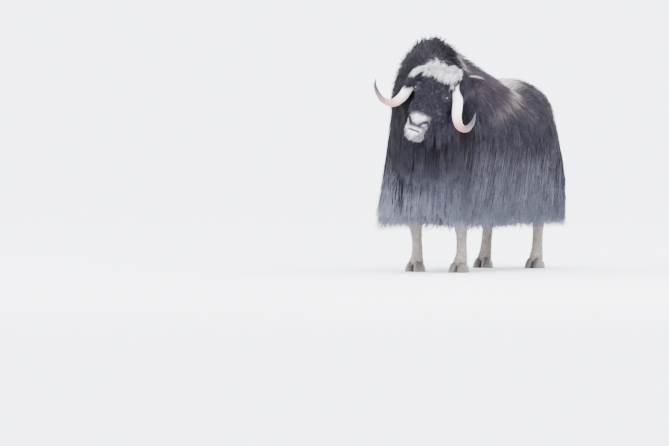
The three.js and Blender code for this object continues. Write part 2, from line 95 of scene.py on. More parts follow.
# Rump to chest: y, top, widest level, belly, half width, coat over, beside, under and beyond, peak.
TRUNK = [
    (1015, 860, 830, 800, 8, 60, 30, 250, 68, 0.8),
    (990, 955, 840, 560, 126, 76, 62, 290, 62, 0.75),
    (930, 1012, 810, 490, 172, 84, 70, 258, 30, 0.8),
    (810, 1025, 750, 480, 226, 74, 78, 245, 10, 0.95),
    (640, 985, 720, 470, 270, 50, 85, 235, 0, 1.1),
    (440, 1030, 715, 465, 285, 80, 85, 230, 0, 1.2),
    (230, 1095, 720, 470, 265, 105, 85, 235, 0, 1.3),
    (40, 1150, 730, 480, 225, 125, 80, 245, 0, 1.3),
    (-130, 1160, 745, 500, 178, 130, 70, 240, 0, 1.2),
    (-250, 1060, 770, 545, 130, 90, 50, 240, -30, 1.1),
    (-300, 830, 800, 770, 8, 20, 20, 300, -50, 1),
]
TRUNK_KEEL, SKULL_FULLNESS = 0.6, 0.9
# Shoulders to poll: x, y, z, half width, up, down, coat over, beside and under.
NECK = [
    (0, 60, 870, 10, 10, 10, 0, 0, 0),
    (5, -60, 890, 160, 300, 330, 90, 60, 60),
    (8, -170, 900, 130, 300, 330, 108, 65, 80),
    (52, -280, 920, 118, 245, 300, 108, 70, 110),
    (125, -375, 950, 104, 165, 240, 100, 70, 120),
    (165, -445, 975, 90, 95, 130, 60, 50, 70),
    (180, -485, 985, 10, 10, 10, 0, 0, 0),
]
# Poll to muzzle, in the head's frame: z, half width, front, back, y.
HEAD = [
    (236, 20, 10, 10, 30),
    (220, 82, 62, 60, 25),
    (175, 122, 92, 120, 20),
    (110, 126, 98, 140, 18),
    (40, 110, 94, 142, 12),
    (-30, 90, 90, 128, 4),
    (-100, 72, 84, 102, -10),
    (-155, 66, 82, 76, -24),
    (-198, 63, 73, 58, -32),
    (-230, 44, 50, 42, -30),
    (-241, 10, 8, 8, -28),
]
# Root to tip, left, in the head's frame: x, y, z, radius.
HORN = [
    (66, 20, 160, 30),
    (92, 4, 124, 38),
    (142, -8, 46, 35),
    (168, 4, -36, 32),
    (207, 6, -84, 27),
    (260, -26, -90, 20),
    (298, -92, -55, 12),
    (308, -138, -10, 1),
]
HORN_FLATNESS = 0.8
# Ears, tail, legs and claws: x, y, z, half width, up or front, down or back.
EAR = [
    (92, 90, 178, 6, 6, 6),
    (116, 94, 188, 26, 19, 19),
    (154, 100, 199, 35, 19, 19),
    (192, 105, 208, 26, 12, 12),
    (224, 107, 212, 3, 3, 3),
]
EAR_LAID = {Side.LEFT: 0, Side.RIGHT: 42}
EAR_CUP_WIDE, EAR_CUP_DEEP, EAR_CUP_OUT = 0.74, 1.25, 8
TAIL = [
    (0, 960, 925, 6, 6, 6),
    (0, 1020, 915, 30, 18, 20),
    (0, 1092, 860, 36, 18, 20),
    (0, 1118, 780, 26, 14, 14),
    (0, 1120, 730, 4, 4, 4),
]
FORELEG = [
    (0, -10, 590, 10, 10, 10),
    (0, -10, 520, 74, 84, 90),
    (0, -14, 400, 60, 66, 70),
    (0, -20, 290, 46, 50, 48),
    (0, -10, 190, 33, 34, 38),
    (0, -8, 110, 34, 36, 42),
    (0, -16, 66, 42, 44, 44),
    (0, -22, 30, 44, 46, 44),
]
HINDLEG = [
    (0, 800, 590, 10, 10, 10),
    (0, 810, 530, 84, 110, 100),
    (0, 865, 430, 60, 70, 70),
    (0, 905, 340, 42, 48, 50),
    (0, 886, 210, 33, 36, 38),
    (0, 870, 120, 34, 36, 42),
    (0, 858, 66, 41, 44, 44),
    (0, 850, 30, 43, 46, 44),
]
# One claw, from the middle of the foot outwards; the lowest row is cut off at the ground.
CLAW = [
    (22, -2, HOOF_HEIGHT - 2, 14, 26, 28),
    (23, -6, HOOF_HEIGHT * 0.74, 24, 40, 40),
    (25, -8, 22, 27.5, 50, 45),
    (26, -10, 3, 28.5, 55, 47),
    (26, -10, -16, 23, 48, 41),
]
# Pads of flesh on the head, in its frame: name, middle, half sizes, turn about X, Y and Z on the left.
PAIRED_PADS = [
    ("rim", (88, -50, 30), (23.5, 29, 24), (0, 0, -EYE_LOOK)),
    ("brow", (84, -50, 54), (30, 30, 14), (0, 14, 0)),
    ("nose_wing", (36, -90, -160), (17, 19, 27), (0, 40, 0)),
    ("cheek", (62, 10, -60), (34, 60, 70), (0, 0, 0)),
]
MIDDLE_PADS = [
    ("nose_pad", (0, -100, -154), (26, 12, 26), (0, 0, 0)),
    ("upper_lip", (0, -62, -195), (50, 40, 17), (LIP_TILT, 0, 0)),
    ("lower_lip", (0, -56, -224), (42, 36, 17), (LIP_TILT, 0, 0)),
]
# The pale wool's outline on the forehead, in the head's frame: places across, and its top and foot there.
WOOL_ACROSS = (-150, -120, -100, -65, -20, 25, 50, 85, 100, 114)
WOOL_TOP = (100, 138, 156, 196, 204, 192, 212, 216, 196, 164)
WOOL_FOOT = (92, 98, 112, 128, 126, 124, 134, 112, 120, 162)

# The coat, as shares of its depth: the bare body is at 0 and the solids' outer face at 1.
SKIN_SHARE = 0.4  # the skin's place, just under the solids' core
ROOT_DEPTH = -0.12  # where a hair starts, below the skin
SPREAD_LEVEL = 0.3  # the level over which roots are spread evenly
OUTER_LEVEL = 0.8  # the level on which lengths are measured
POLE = 0.0008  # how near to a form's end hair may stand, as a share of its length
# Degrees round from the top, and the hair's lie there: 0 is back, 90 down, 180 ahead.
FLANK_LIE = ((0, 12, 30, 57, 80, 110), (0, 6, 30, 60, 96, 116))
MANE_LIE = ((0, 14, 34, 60, 90, 130), (0, 8, 30, 56, 84, 92))
# Degrees round from the top, and the hair's length or its hem's level there, in millimetres.
FLANK_LENGTH = ((0, 30, 60, 90), (105, 130, 190, 280))
MANE_LENGTH = ((0, 34, 60, 90), (110, 125, 160, 210))
BEARD_HEM = ((90, 118, 156), (560, 510, 430))
# Places from rump to chest, and how far the skirt is blown ahead for each metre that it falls.
SKIRT_BLOWN = ((0, 0.1, 0.3, 0.75, 0.95), (0, 0.12, 0.5, 0.44, 0.12))
# Heights on the face, in the head's frame, and the hair's length there, as a share of its own.
FACE_LENGTH = ((-240, -222, -205, -120, -60, 60), (1.4, 0.95, 0.36, 0.42, 0.9, 1.1))
# Rows of forehead locks: how many, across what width, the roots' y and z, and the points they bend through.
FORELOCKS = (
    (30, 200, (2, 154), ((-50, 170), (-78, 160), (-94, 142), (-102, 120))),
    (26, 186, (16, 164), ((-30, 186), (-58, 184), (-82, 168), (-98, 146))),
    (16, 140, (30, 172), ((-6, 190), (-30, 196), (-54, 198), (-74, 190))),
)
FORELOCK_LIMITS = (-128, 116)  # how far to the right and the left a lock may lean
LOCK_FALL = (0.0, 0.33, 0.66, 1.0)  # the knots of a hanging lock, as shares of its fall

# Small helpers.


def linear(colour: str) -> tuple[float, float, float, float]:
    """Turn an sRGB hex colour into linear RGBA.

    Args:
        colour: Six hex digits, with or without a leading hash.

    Returns:
        Linear red, green, blue and a full alpha.
    """
    digits = colour.lstrip("#")
    parts = [int(digits[i : i + 2], 16) / 255 for i in (0, 2, 4)]
    red, green, blue = (p / 12.92 if p <= 0.04045 else ((p + 0.055) / 1.055) ** 2.4 for p in parts)
    return red, green, blue, 1.0


def unit(vectors: Array) -> Array:
    """Return the vectors at length one."""
    return vectors / np.maximum(np.linalg.norm(vectors, axis=-1, keepdims=True), 1e-9)


def smooth(low: float, high: float, value: Array) -> Array:
    """Return a smooth step from 0 at low to 1 at high."""
    share = np.clip((value - low) / (high - low), 0, 1)
    return share * share * (3 - 2 * share)


def hump(value: Array, half: Array | float, power: float = 2) -> Array:
    """Return 1 where the value is 0, falling away on both sides within about half."""
    return np.exp(-((value / half) ** power))


def signed_power(value: Array, exponent: Array | float) -> Array:
    """Raise the size of a value to a power and keep its sign."""
    return np.sign(value) * np.abs(value) ** exponent


def dots(first: Array, second: Array) -> Array:
    """Return the dot product of each pair of vectors."""
    return np.einsum("nc,nc->n", first, second)


def spline(values: Array, t: Array) -> tuple[Array, Array]:
    """Run a smooth curve through rows of numbers.

    Args:
        values: One row for each station.
        t: Places along the curve, from 0 to 1.

    Returns:
        The curve's values at t, and their slopes.
    """
    padded = np.vstack([2 * values[0] - values[1], values, 2 * values[-1] - values[-2]])
    place = np.clip(t, 0, 1) * (len(values) - 1)
    index = np.minimum(place.astype(int), len(values) - 2)
    f = (place - index)[:, None]
    before, start, end, after = (padded[index + k] for k in range(4))
    out, into = (end - before) / 2, (after - start) / 2
    square, cube = 3 * (end - start) - 2 * out - into, 2 * (start - end) + out + into
    return start + f * (out + f * (square + f * cube)), out + f * (2 * square + 3 * f * cube)


def turned(x: float = 0, y: float = 0, z: float = 0) -> Matrix:
    """Turn about X, then Y, then Z.

    Args:
        x: Degrees about X.
        y: Degrees about Y.
        z: Degrees about Z.

    Returns:
        The whole turn.
    """
    whole = Matrix.Identity(4)
    for angle, axis in ((z, "Z"), (y, "Y"), (x, "X")):
        whole = whole @ Matrix.Rotation(math.radians(angle), 4, axis)
    return whole


def on_side(side: Side, at: Triple) -> Triple:
    """Return a place that is given for the left, on one side."""
    return side.value * at[0], at[1], at[2]


# The body's forms.


@dataclass(frozen=True)
class Station:
    """One cross-section of a form, in millimetres, and how far the coat stands over it.

    coat is over the top, beside, under, and along Y. peak and keel are how narrow or full the halves are.
    """

    at: Triple
    wide: float
    up: float
    down: float
    coat: tuple[float, float, float, float] = (0, 0, 0, 0)
    peak: float = 1
    keel: float = 1


@dataclass
class Form:
    """A rounded body through its stations: the bare body at share 0, the hair's tips at share 1.

    t runs along the stations and u along the length, both 0 to 1. turn goes round from top in radians.
    """

    stations: list[Station]
    top: Triple
    pose: Matrix
    section_steps: int = 161
    section_reach: float = 0.03  # metres on each side of a section for which it stands
    bare: Array = field(init=False)
    coat: Array = field(init=False)
    steps: Array = field(init=False)
    reach: Array = field(init=False)
    turning: Array = field(init=False)
    place: Array = field(init=False)

    def __post_init__(self) -> None:
        """Lay the stations out as arrays, in metres."""
        bare = [(*s.at, s.wide, s.up, s.down, s.peak, s.keel) for s in self.stations]
        coat = [(0, s.coat[3], 0, s.coat[1], s.coat[0], s.coat[2], 0, 0) for s in self.stations]
        scale = np.array([MM] * 6 + [1, 1])
        self.bare, self.coat = np.array(bare) * scale, np.array(coat) * scale
        self.steps = np.linspace(0, 1, self.section_steps)
        spine, _ = spline(self.bare + self.coat, self.steps)
        run = np.linalg.norm(np.diff(spine[:, :3], axis=0), axis=1)
        self.reach = np.concatenate([[0], np.cumsum(run)])
        self.turning = np.array(self.pose.to_3x3())
        self.place = np.array(self.pose.translation)

    def section(self, t: Array, share: Array) -> tuple[Array, Array, Array]:
        """Find the cross-sections at places along the form.

        Args:
            t: Places along the stations.
            share: How far into the coat's depth.

        Returns:
            Each section's values, its sideways and its upward direction.
        """
        bare, bare_slope = spline(self.bare, t)
        coat, coat_slope = spline(self.coat, t)
        share = np.broadcast_to(share, t.shape)[:, None]
        along = unit((bare_slope + share * coat_slope)[:, :3])
        top = np.array(self.top, dtype=float)
        height = unit(top - along * (along @ top)[:, None])
        return bare + share * coat, np.cross(height, along), height

    def points(self, t: Array, turn: Array, share: Array | float, inset: float = 0) -> Array:
        """Return points on the form's surface.

        Args:
            t: Places along the stations.
            turn: Angles round from the top.
            share: How far into the coat's depth.
            inset: Metres by which the surface is drawn in.

        Returns:
            One point for each t and turn.
        """
        values, side, height = self.section(t, np.asarray(share, dtype=float))
        rise, across = np.cos(turn), np.sin(turn)
        below = rise < 0
        across = signed_power(across, np.where(below, values[:, 7], values[:, 6]))
        rise = np.where(below, signed_power(rise, values[:, 7]), rise)
        upward = np.where(below, values[:, 5], values[:, 4])
        wide = np.maximum(values[:, 3] - inset, MM) * across
        tall = np.maximum(upward - inset, MM) * rise
        local = values[:, :3] + side * wide[:, None] + height * tall[:, None]
        return local @ self.turning.T + self.place

    def layer(self, u: Array, turn: Array, height: Array | float) -> Array:
        """Return points between the skin, at height 0, and the hair's tips, at height 1."""
        t = np.interp(np.clip(u, POLE, 1 - POLE) * self.reach[-1], self.reach, self.steps)
        return self.points(t, turn, SKIN_SHARE + (1 - SKIN_SHARE) * np.asarray(height))

    def span(self, place: Pair, step: Pair, height: float) -> Array:
        """Return the way over a place, from a step of u and turn before it to a step after it."""
        (u, turn), (du, dturn) = place, step
        return self.layer(u + du, turn + dturn, height) - self.layer(u - du, turn - dturn, height)

    def metric(self, u: Array, turn: Array) -> tuple[Array, Array]:
        """Measure the outer coat.

        Args:
            u: Places along the form.
            turn: Angles round from the top.

        Returns:
            Metres for each unit of u, and metres for each radian of turn.
        """
        step, twist = 0.01, 0.03
        along = self.span((u, turn), (step, 0), OUTER_LEVEL) / (2 * step)
        around = self.span((u, turn), (0, twist), OUTER_LEVEL) / (2 * twist)
        least = 0.25 * self.reach[-1]
        along_size = np.maximum(np.linalg.norm(along, axis=1), least)
        return along_size, np.maximum(np.linalg.norm(around, axis=1), 10 * MM)

    def inside(self, points: Array, share: float, grow: float = 0) -> Array:
        """Tell which points lie within the form.

        Args:
            points: Points in the model's frame.
            share: How far into the coat's depth the form reaches.
            grow: Metres by which it is made larger.

        Returns:
            True for each point inside.
        """
        local = (points - self.place) @ self.turning
        values, side, height = self.section(np.linspace(0.02, 0.98, 49), np.asarray(share))
        along = np.cross(side, height)
        inner = np.zeros(len(local), dtype=bool)
        for start in range(0, len(local), BATCH):
            part = slice(start, start + BATCH)
            gaps = local[part, None, :] - values[None, :, :3]
            lag = np.abs(np.einsum("nkc,kc->nk", gaps, along))
            lag += 0.15 * np.linalg.norm(gaps, axis=2)  # of two sections in line, the nearer one counts
            near = np.argmin(lag, axis=1)
            row = values[near]
            offset = local[part] - row[:, :3]
            x, y = dots(offset, side[near]), dots(offset, height[near])
            below = y < 0
            tall = np.where(below, row[:, 5], row[:, 4]) + grow
            span = np.abs(x / (row[:, 3] + grow)) ** (2 / np.where(below, row[:, 7], row[:, 6]))
            span += np.abs(y / tall) ** (2 / np.where(below, row[:, 7], 1))
            past = np.abs(dots(offset, along[near]))
            inner[part] = (span < 1) & (past < self.section_reach + grow)
        return inner


def bare_form(table: list[Row], top: Triple, pose: Matrix) -> Form:
    """Make a form without a coat from rows of x, y, z, wide, up, down."""
    return Form([Station(row[:3], *row[3:6]) for row in table], top, pose)


@dataclass(frozen=True)
class Limb:
    """One leg: its name, its side, its sections and how far it has stepped back."""

    name: str
    side: Side
    table: list[Row]
    step: float

    def rows(self) -> list[Row]:
        """Return the leg's sections where it stands."""
        out = self.side.value * LEG_OUT
        return [(out, y + self.step * (1 - z / HIP_HEIGHT), z, *sizes) for _, y, z, *sizes in self.table]


LIMBS = [
    Limb("front_left", Side.LEFT, FORELEG, -30),
    Limb("front_right", Side.RIGHT, FORELEG, 25),
    Limb("hind_left", Side.LEFT, HINDLEG, 30),
    Limb("hind_right", Side.RIGHT, HINDLEG, -25),
]


@dataclass
class Anatomy:
    """Every form of the animal, placed in the model's frame."""

    stand: Matrix = field(init=False)
    head_pose: Matrix = field(init=False)
    trunk: Form = field(init=False)
    neck: Form = field(init=False)
    skull: Form = field(init=False)
    tail: Form = field(init=False)
    legs: dict[str, Form] = field(init=False)
    horns: dict[Side, Form] = field(init=False)
    ears: dict[Side, Form] = field(init=False)

    def __post_init__(self) -> None:
        """Find where the layout stands in the model, from the left eye, and build the forms there."""
        head = Matrix.Translation(Vector(HEAD_AT) * MM) @ turned(HEAD_NOD, HEAD_TILT, HEAD_TURN)
        low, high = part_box("eye_left")
        shift = (Vector(low) + Vector(high)) / 2 - head @ (Vector(EYE_AT) * MM)
        shift.z = 0
        self.stand = Matrix.Translation(shift)
        self.head_pose = self.stand @ head
        trunk = []
        for y, top, widest, belly, half, over, beside, under, beyond, peak in TRUNK:
            coat = (over, beside, under, beyond)
            trunk.append(Station((0, y, widest), half, top - widest, widest - belly, coat, peak, TRUNK_KEEL))
        neck = [Station(row[:3], *row[3:6], (*row[6:9], 0)) for row in NECK]
        skull = []
        for z, wide, front, back, y in HEAD:
            skull.append(Station((0, y, z), wide, front, back, peak=SKULL_FULLNESS, keel=SKULL_FULLNESS))
        self.trunk = Form(trunk, UP, self.stand)
        self.neck = Form(neck, UP, self.stand)
        self.skull = Form(skull, AHEAD, self.head_pose)
        self.tail = bare_form(TAIL, (0, 1, 1), self.stand)
        self.legs = {limb.name: bare_form(limb.rows(), AHEAD, self.stand) for limb in LIMBS}
        self.horns = {side: self._horn(side) for side in Side}
        self.ears = {side: self._ear(side, EAR) for side in Side}

    def _horn(self, side: Side) -> Form:
        """Return one horn's form."""
        rows = [(side.value * x, y, z, r * HORN_FLATNESS, r, r) for x, y, z, r in HORN]
        return bare_form(rows, AHEAD, self.head_pose)

    def _ear(self, side: Side, table: list[Row]) -> Form:
        """Lay a form on one ear, back as that ear is.

        Args:
            side: The ear's side.
            table: The form's rows, for the left.

        Returns:
            The form.
        """
        root = Vector(on_side(side, EAR[0])) * MM
        lay = Matrix.Translation(root) @ turned(z=side.value * EAR_LAID[side]) @ Matrix.Translation(-root)
        rows = [(side.value * x, *rest) for x, *rest in table]
        return bare_form(rows, AHEAD, self.head_pose @ lay)

    def ear_cup(self, side: Side) -> Form:
        """Return the hollow of one ear."""
        rows = []
        for x, y, z, wide, up, _ in EAR[1:]:
            deep = up * EAR_CUP_DEEP
            rows.append((x + EAR_CUP_OUT, y - up, z, wide * EAR_CUP_WIDE, deep, deep))
        return self._ear(side, rows)

    def on_head(self, points: Array) -> Array:
        """Bring points in the head's frame, in millimetres, into the model's."""
        return points * MM @ self.skull.turning.T + self.skull.place

    def in_head(self, points: Array) -> Array:
        """Bring points of the model into the head's frame, in millimetres."""
        return (points - self.skull.place) @ self.skull.turning / MM

    def in_body(self, points: Array) -> Array:
        """Bring points of the model into the layout's frame, in millimetres."""
        return (points - self.trunk.place) / MM


# The colours of the coat and the skin.


@dataclass(frozen=True)
class Pelt:
    """The colours of a cow's winter coat, and where each of them lies."""

    anatomy: Anatomy
    guard: str = "#282630"
    cape: str = "#342d34"
    crest: str = "#9b8f94"
    saddle: str = "#c2b6ae"
    mane: str = "#17151b"
    rump: str = "#272329"
    skirt: str = "#737584"
    stocking: str = "#968c85"
    face: str = "#24232c"
    wool: str = "#eae9ee"
    muzzle: str = "#e8e7eb"
    muzzle_edge: str = "#777278"
    # The pale blue-grey of the painted sheen on some hair tips.
    sheen_tint: str = "#85828f"
    stray: Triple = (0, 0.06, 0.04)  # metres by which hairs stray over a marking's border
    saddle_at: float = 680  # millimetres behind the withers, on the back line
    saddle_lean: float = 2.8  # how far it runs ahead for each millimetre below the back line
    saddle_half: float = 72
    crest_half: float = 22
    nape_at: tuple[float, float] = (-255, 850)
    leg_areas: tuple[float, float] = (-15, 875)

    def colours(self, points: Array, on_head: Array | bool = False, chance: Array | None = None) -> Array:
        """Return the coat's colour at points of the model.

        Args:
            points: Points on or near the skin.
            on_head: Which of them belong to the head.
            chance: A number from 0 to 1 for each hair, so that the markings mix hair by hair.

        Returns:
            Linear red, green and blue for each point.
        """
        colour = np.tile(np.array(linear(self.guard)[:3]), (len(points), 1))
        strayed = points if chance is None else points + np.outer(chance - 0.5, self.stray)
        for tint, share in self._body_marks(strayed):
            colour = self.blend(colour, tint, share)
        on_head = np.broadcast_to(on_head, len(points)).astype(float)
        for tint, share in self._head_marks(points):
            if chance is not None:
                share = smooth(0.7 * chance, 0.7 * chance + 0.3, share)
            colour = self.blend(colour, tint, share * on_head)
        return colour

    @staticmethod
    def blend(colour: Array, tint: str, share: Array | float) -> Array:
        """Bring colours nearer to a tint, by a share for each of them."""
        return colour + (np.array(linear(tint)[:3]) - colour) * np.clip(share, 0, 1)[..., None]

    def _body_marks(self, points: Array) -> list[tuple[str, Array]]:
        """Find the body's markings.

        Args:
            points: Points of the model.

        Returns:
            Each marking's colour and its share at the points, each over the one before.
        """
        x, y, z = self.anatomy.in_body(points).T
        cape = smooth(780, 1060, z + 0.16 * y) * smooth(-60, 0, y) * smooth(760, 560, y)
        patch = hump(y - self.saddle_at + self.saddle_lean * np.maximum(1045 - z, 0), self.saddle_half)
        fore, hind = (np.abs(y - area) for area in self.leg_areas)
        at_leg = (np.abs(np.abs(x) - LEG_OUT) < 64) & (np.minimum(fore, hind) < 95)
        ridge = y + 30 - 0.35 * np.maximum(z - 1180, 0)
        nape = np.exp(-(((y - self.nape_at[0]) / 28) ** 2 + ((z - self.nape_at[1]) / 80) ** 2))
        return [
            (self.cape, cape),
            (self.rump, smooth(640, 760, y) * smooth(640, 860, z)),
            (self.saddle, patch * smooth(940, 1020, z) * 0.85),
            (self.saddle, patch * smooth(780, 930, z) * 0.2),
            (self.mane, smooth(-20, -70, ridge) * (0.2 + 0.8 * smooth(400, 820, z))),
            (self.crest, hump(ridge, self.crest_half) * smooth(1040, 1130, z) * 0.8),
            (self.crest, nape * smooth(90, 150, x) * 0.45),
            (self.skirt, smooth(640, 225, z) * 0.9),
            (self.stocking, smooth(330, 250, z) * at_leg),
        ]

    def _head_marks(self, points: Array) -> list[tuple[str, Array]]:
        """Find the head's markings: pale wool over the forehead and a pale muzzle, with painted shade in the
        nostrils, along the mouth and in the fold under the nose.

        Args:
            points: Points of the model.

        Returns:
            Each marking's colour and its share at the points, each over the one before.
        """
        head = self.anatomy.in_head(points)
        x, y, z = head.T
        aside = np.abs(x)
        ring, pale = self._muzzle(x, y, z)
        slit = np.minimum(self.nostril_gap(head), self.lip_gap(head) + 4)
        crease_shade = hump(z - CREASE_SHADE_LEVEL, CREASE_SHADE_HALF - 0.1 * aside)
        ear = smooth(108, 124, aside) * smooth(66, 78, y)
        return [
            (self.face, np.ones_like(x)),
            (self.cape, ear),
            (self.crest, ear * smooth(22, 32, z - 178 - 0.26 * (aside - 92))),
            (self.wool, self._wool(x, y, z)),
            (self.muzzle_edge, ring * 0.8),
            (self.muzzle, pale),
            (self.muzzle_edge, hump(self.nostril_gap(head), 23) * ring * 0.8),
            # Painted shade in the fold between the nose and the upper lip.
            (self.face, crease_shade * smooth(58, 30, aside) * smooth(-50, -80, y) * 0.95),
            # Painted shade in the nostril slits and along the line between the lips.
            (self.face, hump(slit, 10, 4) * ring),
        ]

    @staticmethod
    def _wool(x: Array, y: Array, z: Array) -> Array:
        """Return the pale wool's share at places in the head's frame, within its wavy outline."""
        upper = np.interp(x, WOOL_ACROSS, WOOL_TOP) + 9 * np.sin(x / 7) + 6 * np.sin(x / 2.7)
        lower = np.interp(x, WOOL_ACROSS, WOOL_FOOT) + 10 * np.sin(x / 6) + 8 * np.sin(x / 2.3)
        return 0.74 * smooth(lower - 16, lower + 12, z) * smooth(upper + 16, upper - 6, z) * smooth(34, -6, y)

    @staticmethod
    def _muzzle(x: Array, y: Array, z: Array) -> tuple[Array, Array]:
        """Find the muzzle's markings.

        Args:
            x: Places across, in the head's frame.
            y: Places back.
            z: Places up.

        Returns:
            The shares of its soft rim and of its pale middle.
        """
        edge = -48 + np.clip(-200 - z, 0, 40)
        ring = smooth(-90, -118, z) * smooth(edge + 36, edge, y + 0.5 * np.maximum(x, 0))
        pale = smooth(-108, -130, z + 4 * np.sin(x / 7)) * smooth(edge + 14, edge - 10, y)
        pale *= 0.9 * smooth(60, 36, x + 0.7 * np.maximum(y + 92, 0) + 0.8 * np.maximum(-205 - z, 0))
        pale *= smooth(-72, -38, x - 0.8 * np.maximum(-200 - z, 0))
        return ring, pale

    @staticmethod
    def nostril_gap(head: Array) -> Array:
        """Measure how near the nostrils are.

        Args:
            head: Points in the head's frame.

        Returns:
            Each point's distance from the nearer nostril, in millimetres.
        """
        start, end = np.array(NOSTRIL[0]), np.array(NOSTRIL[1])
        spot = np.stack([np.abs(head[:, 0]), head[:, 2]], axis=1) - start
        span = end - start
        share = np.clip(spot @ span / (span @ span), 0, 1)
        slit = np.linalg.norm(spot - share[:, None] * span, axis=1)
        return slit + np.maximum(head[:, 1] + 60, 0)

    @staticmethod
    def lip_gap(head: Array) -> Array:
        """Measure how near the line between the lips is.

        Args:
            head: Points in the head's frame.

        Returns:
            Each point's distance from the line, in millimetres.
        """
        across = np.maximum(np.abs(head[:, 0]) - MOUTH_REACH, 0)
        level = head[:, 2] - MOUTH_LEVEL - 0.16 * (head[:, 1] + 95)
        return np.hypot(level, across) + np.maximum(head[:, 1] + 50, 0)


# The materials.


def add_node(
    tree: Tree, kind: str, values: Values | None = None, links: Links | None = None, **settings: object
) -> bpy.types.Node:
    """Add a node with its settings, its own socket values and its incoming links.

    Args:
        tree: The node tree that takes the node.
        kind: The node's type.
        values: Numbers and colours for its sockets.
        links: What runs into its sockets.
        settings: The node's own settings.

    Returns:
        The new node.
    """
    fresh = tree.nodes.new(kind)
    for name, setting in settings.items():
        setattr(fresh, name, setting)
    for socket, value in (values or {}).items():
        fresh.inputs[socket].default_value = value
    for socket, source in (links or {}).items():
        tree.links.new(source, fresh.inputs[socket])
    return fresh


def tone_range(low: float, high: float) -> Values:
    """Return what turns a noise, which mostly stays between 0.3 and 0.7, into factors from low to high."""
    return {"From Min": 0.3, "From Max": 0.7, "To Min": low, "To Max": high}


def toned(tree: Tree, colour: Socket, pattern: Socket, low: float, high: float) -> Socket:
    """Make a colour darker and lighter by a pattern.

    Args:
        tree: The material's node tree.
        colour: The plain colour.
        pattern: The noise that decides.
        low: The darkest factor.
        high: The lightest factor.

    Returns:
        The uneven colour.
    """
    tone = add_node(tree, "ShaderNodeMapRange", tone_range(low, high), {"Value": pattern})
    links = {0: colour, "Scale": tone.outputs[0]}
    return add_node(tree, "ShaderNodeVectorMath", links=links, operation="SCALE").outputs[0]


@dataclass(frozen=True)
class Finish:
    """What every finish shares: a name, one surface shader and the material's output."""

    name: str

    def material(self) -> bpy.types.Material:
        """Build the finish.

        Returns:
            A new material.
        """
        material = bpy.data.materials.new(self.name)
        material.use_nodes = True
        tree = material.node_tree
        tree.nodes.clear()
        shader = add_node(tree, "ShaderNodeBsdfPrincipled", *self.surface(tree))
        add_node(tree, "ShaderNodeOutputMaterial", links={"Surface": shader.outputs[0]})
        return material

    def surface(self, tree: Tree) -> tuple[Values, Links]:
        """Add the finish's patterns, and return the shader's numbers and what runs into it."""
        raise NotImplementedError


@dataclass(frozen=True)
class HairFinish(Finish):
    """Keratin hair, IOR 1.55: matt and a little uneven, each tuft with the pelt's colour at its root."""

    roughness: float = 0.7
    specular: float = 0.12
    fleck: float = 900  # noise cells to a metre, about the width of a tuft
    patch: float = 14  # wider cells, about the width of a lock
    strand: float = 70  # cells between the two, a few tufts wide

    def surface(self, tree: Tree) -> tuple[Values, Links]:
        """Break the stored colour up by locks and by single tufts.

        Args:
            tree: The material's node tree.

        Returns:
            The shader's numbers and links.
        """
        pelt = add_node(tree, "ShaderNodeAttribute", attribute_name="Pelt")
        place = add_node(tree, "ShaderNodeTexCoord")
        whole = None
        for scale, low, high in ((self.patch, 0.82, 1.2), (self.strand, 0.74, 1.3), (self.fleck, 0.84, 1.16)):
            values = {"Scale": scale, "Detail": 3.0, "Roughness": 0.6}
            noise = add_node(tree, "ShaderNodeTexNoise", values, {"Vector": place.outputs["Object"]})
            links = {"Value": noise.outputs["Fac"]}
            tone = add_node(tree, "ShaderNodeMapRange", tone_range(low, high), links).outputs[0]
            if whole is None:
                whole = tone
            else:
                product = {0: whole, 1: tone}
                whole = add_node(tree, "ShaderNodeMath", links=product, operation="MULTIPLY").outputs[0]
        scaled = {0: pelt.outputs["Color"], "Scale": whole}
        colour = add_node(tree, "ShaderNodeVectorMath", links=scaled, operation="SCALE")
        values = {"Roughness": self.roughness, "IOR": 1.55, "Specular IOR Level": self.specular}
        return values, {"Base Color": colour.outputs[0]}


@dataclass(frozen=True)
class HideFinish(Finish):
    """Haired hide under the coat: the coat's own colours, very matt, with a fine nap in its bump."""

    name: str = "haired_hide"
    nap: float = 420  # noise cells to a metre, short hair seen as grain

    def surface(self, tree: Tree) -> tuple[Values, Links]:
        """Give the stored colour a nap.

        Args:
            tree: The material's node tree.

        Returns:
            The shader's numbers and links.
        """
        pelt = add_node(tree, "ShaderNodeAttribute", attribute_name="Pelt")
        place = add_node(tree, "ShaderNodeTexCoord")
        values = {"Scale": self.nap, "Detail": 4.0, "Roughness": 0.65}
        nap = add_node(tree, "ShaderNodeTexNoise", values, {"Vector": place.outputs["Object"]}).outputs["Fac"]
        bump = add_node(tree, "ShaderNodeBump", {"Strength": 0.5, "Distance": 0.002}, {"Height": nap})
        colour = toned(tree, pelt.outputs["Color"], nap, 0.62, 1.0)
        links = {"Base Color": colour, "Normal": bump.outputs[0]}
        return {"Roughness": 0.85, "Specular IOR Level": 0.2}, links


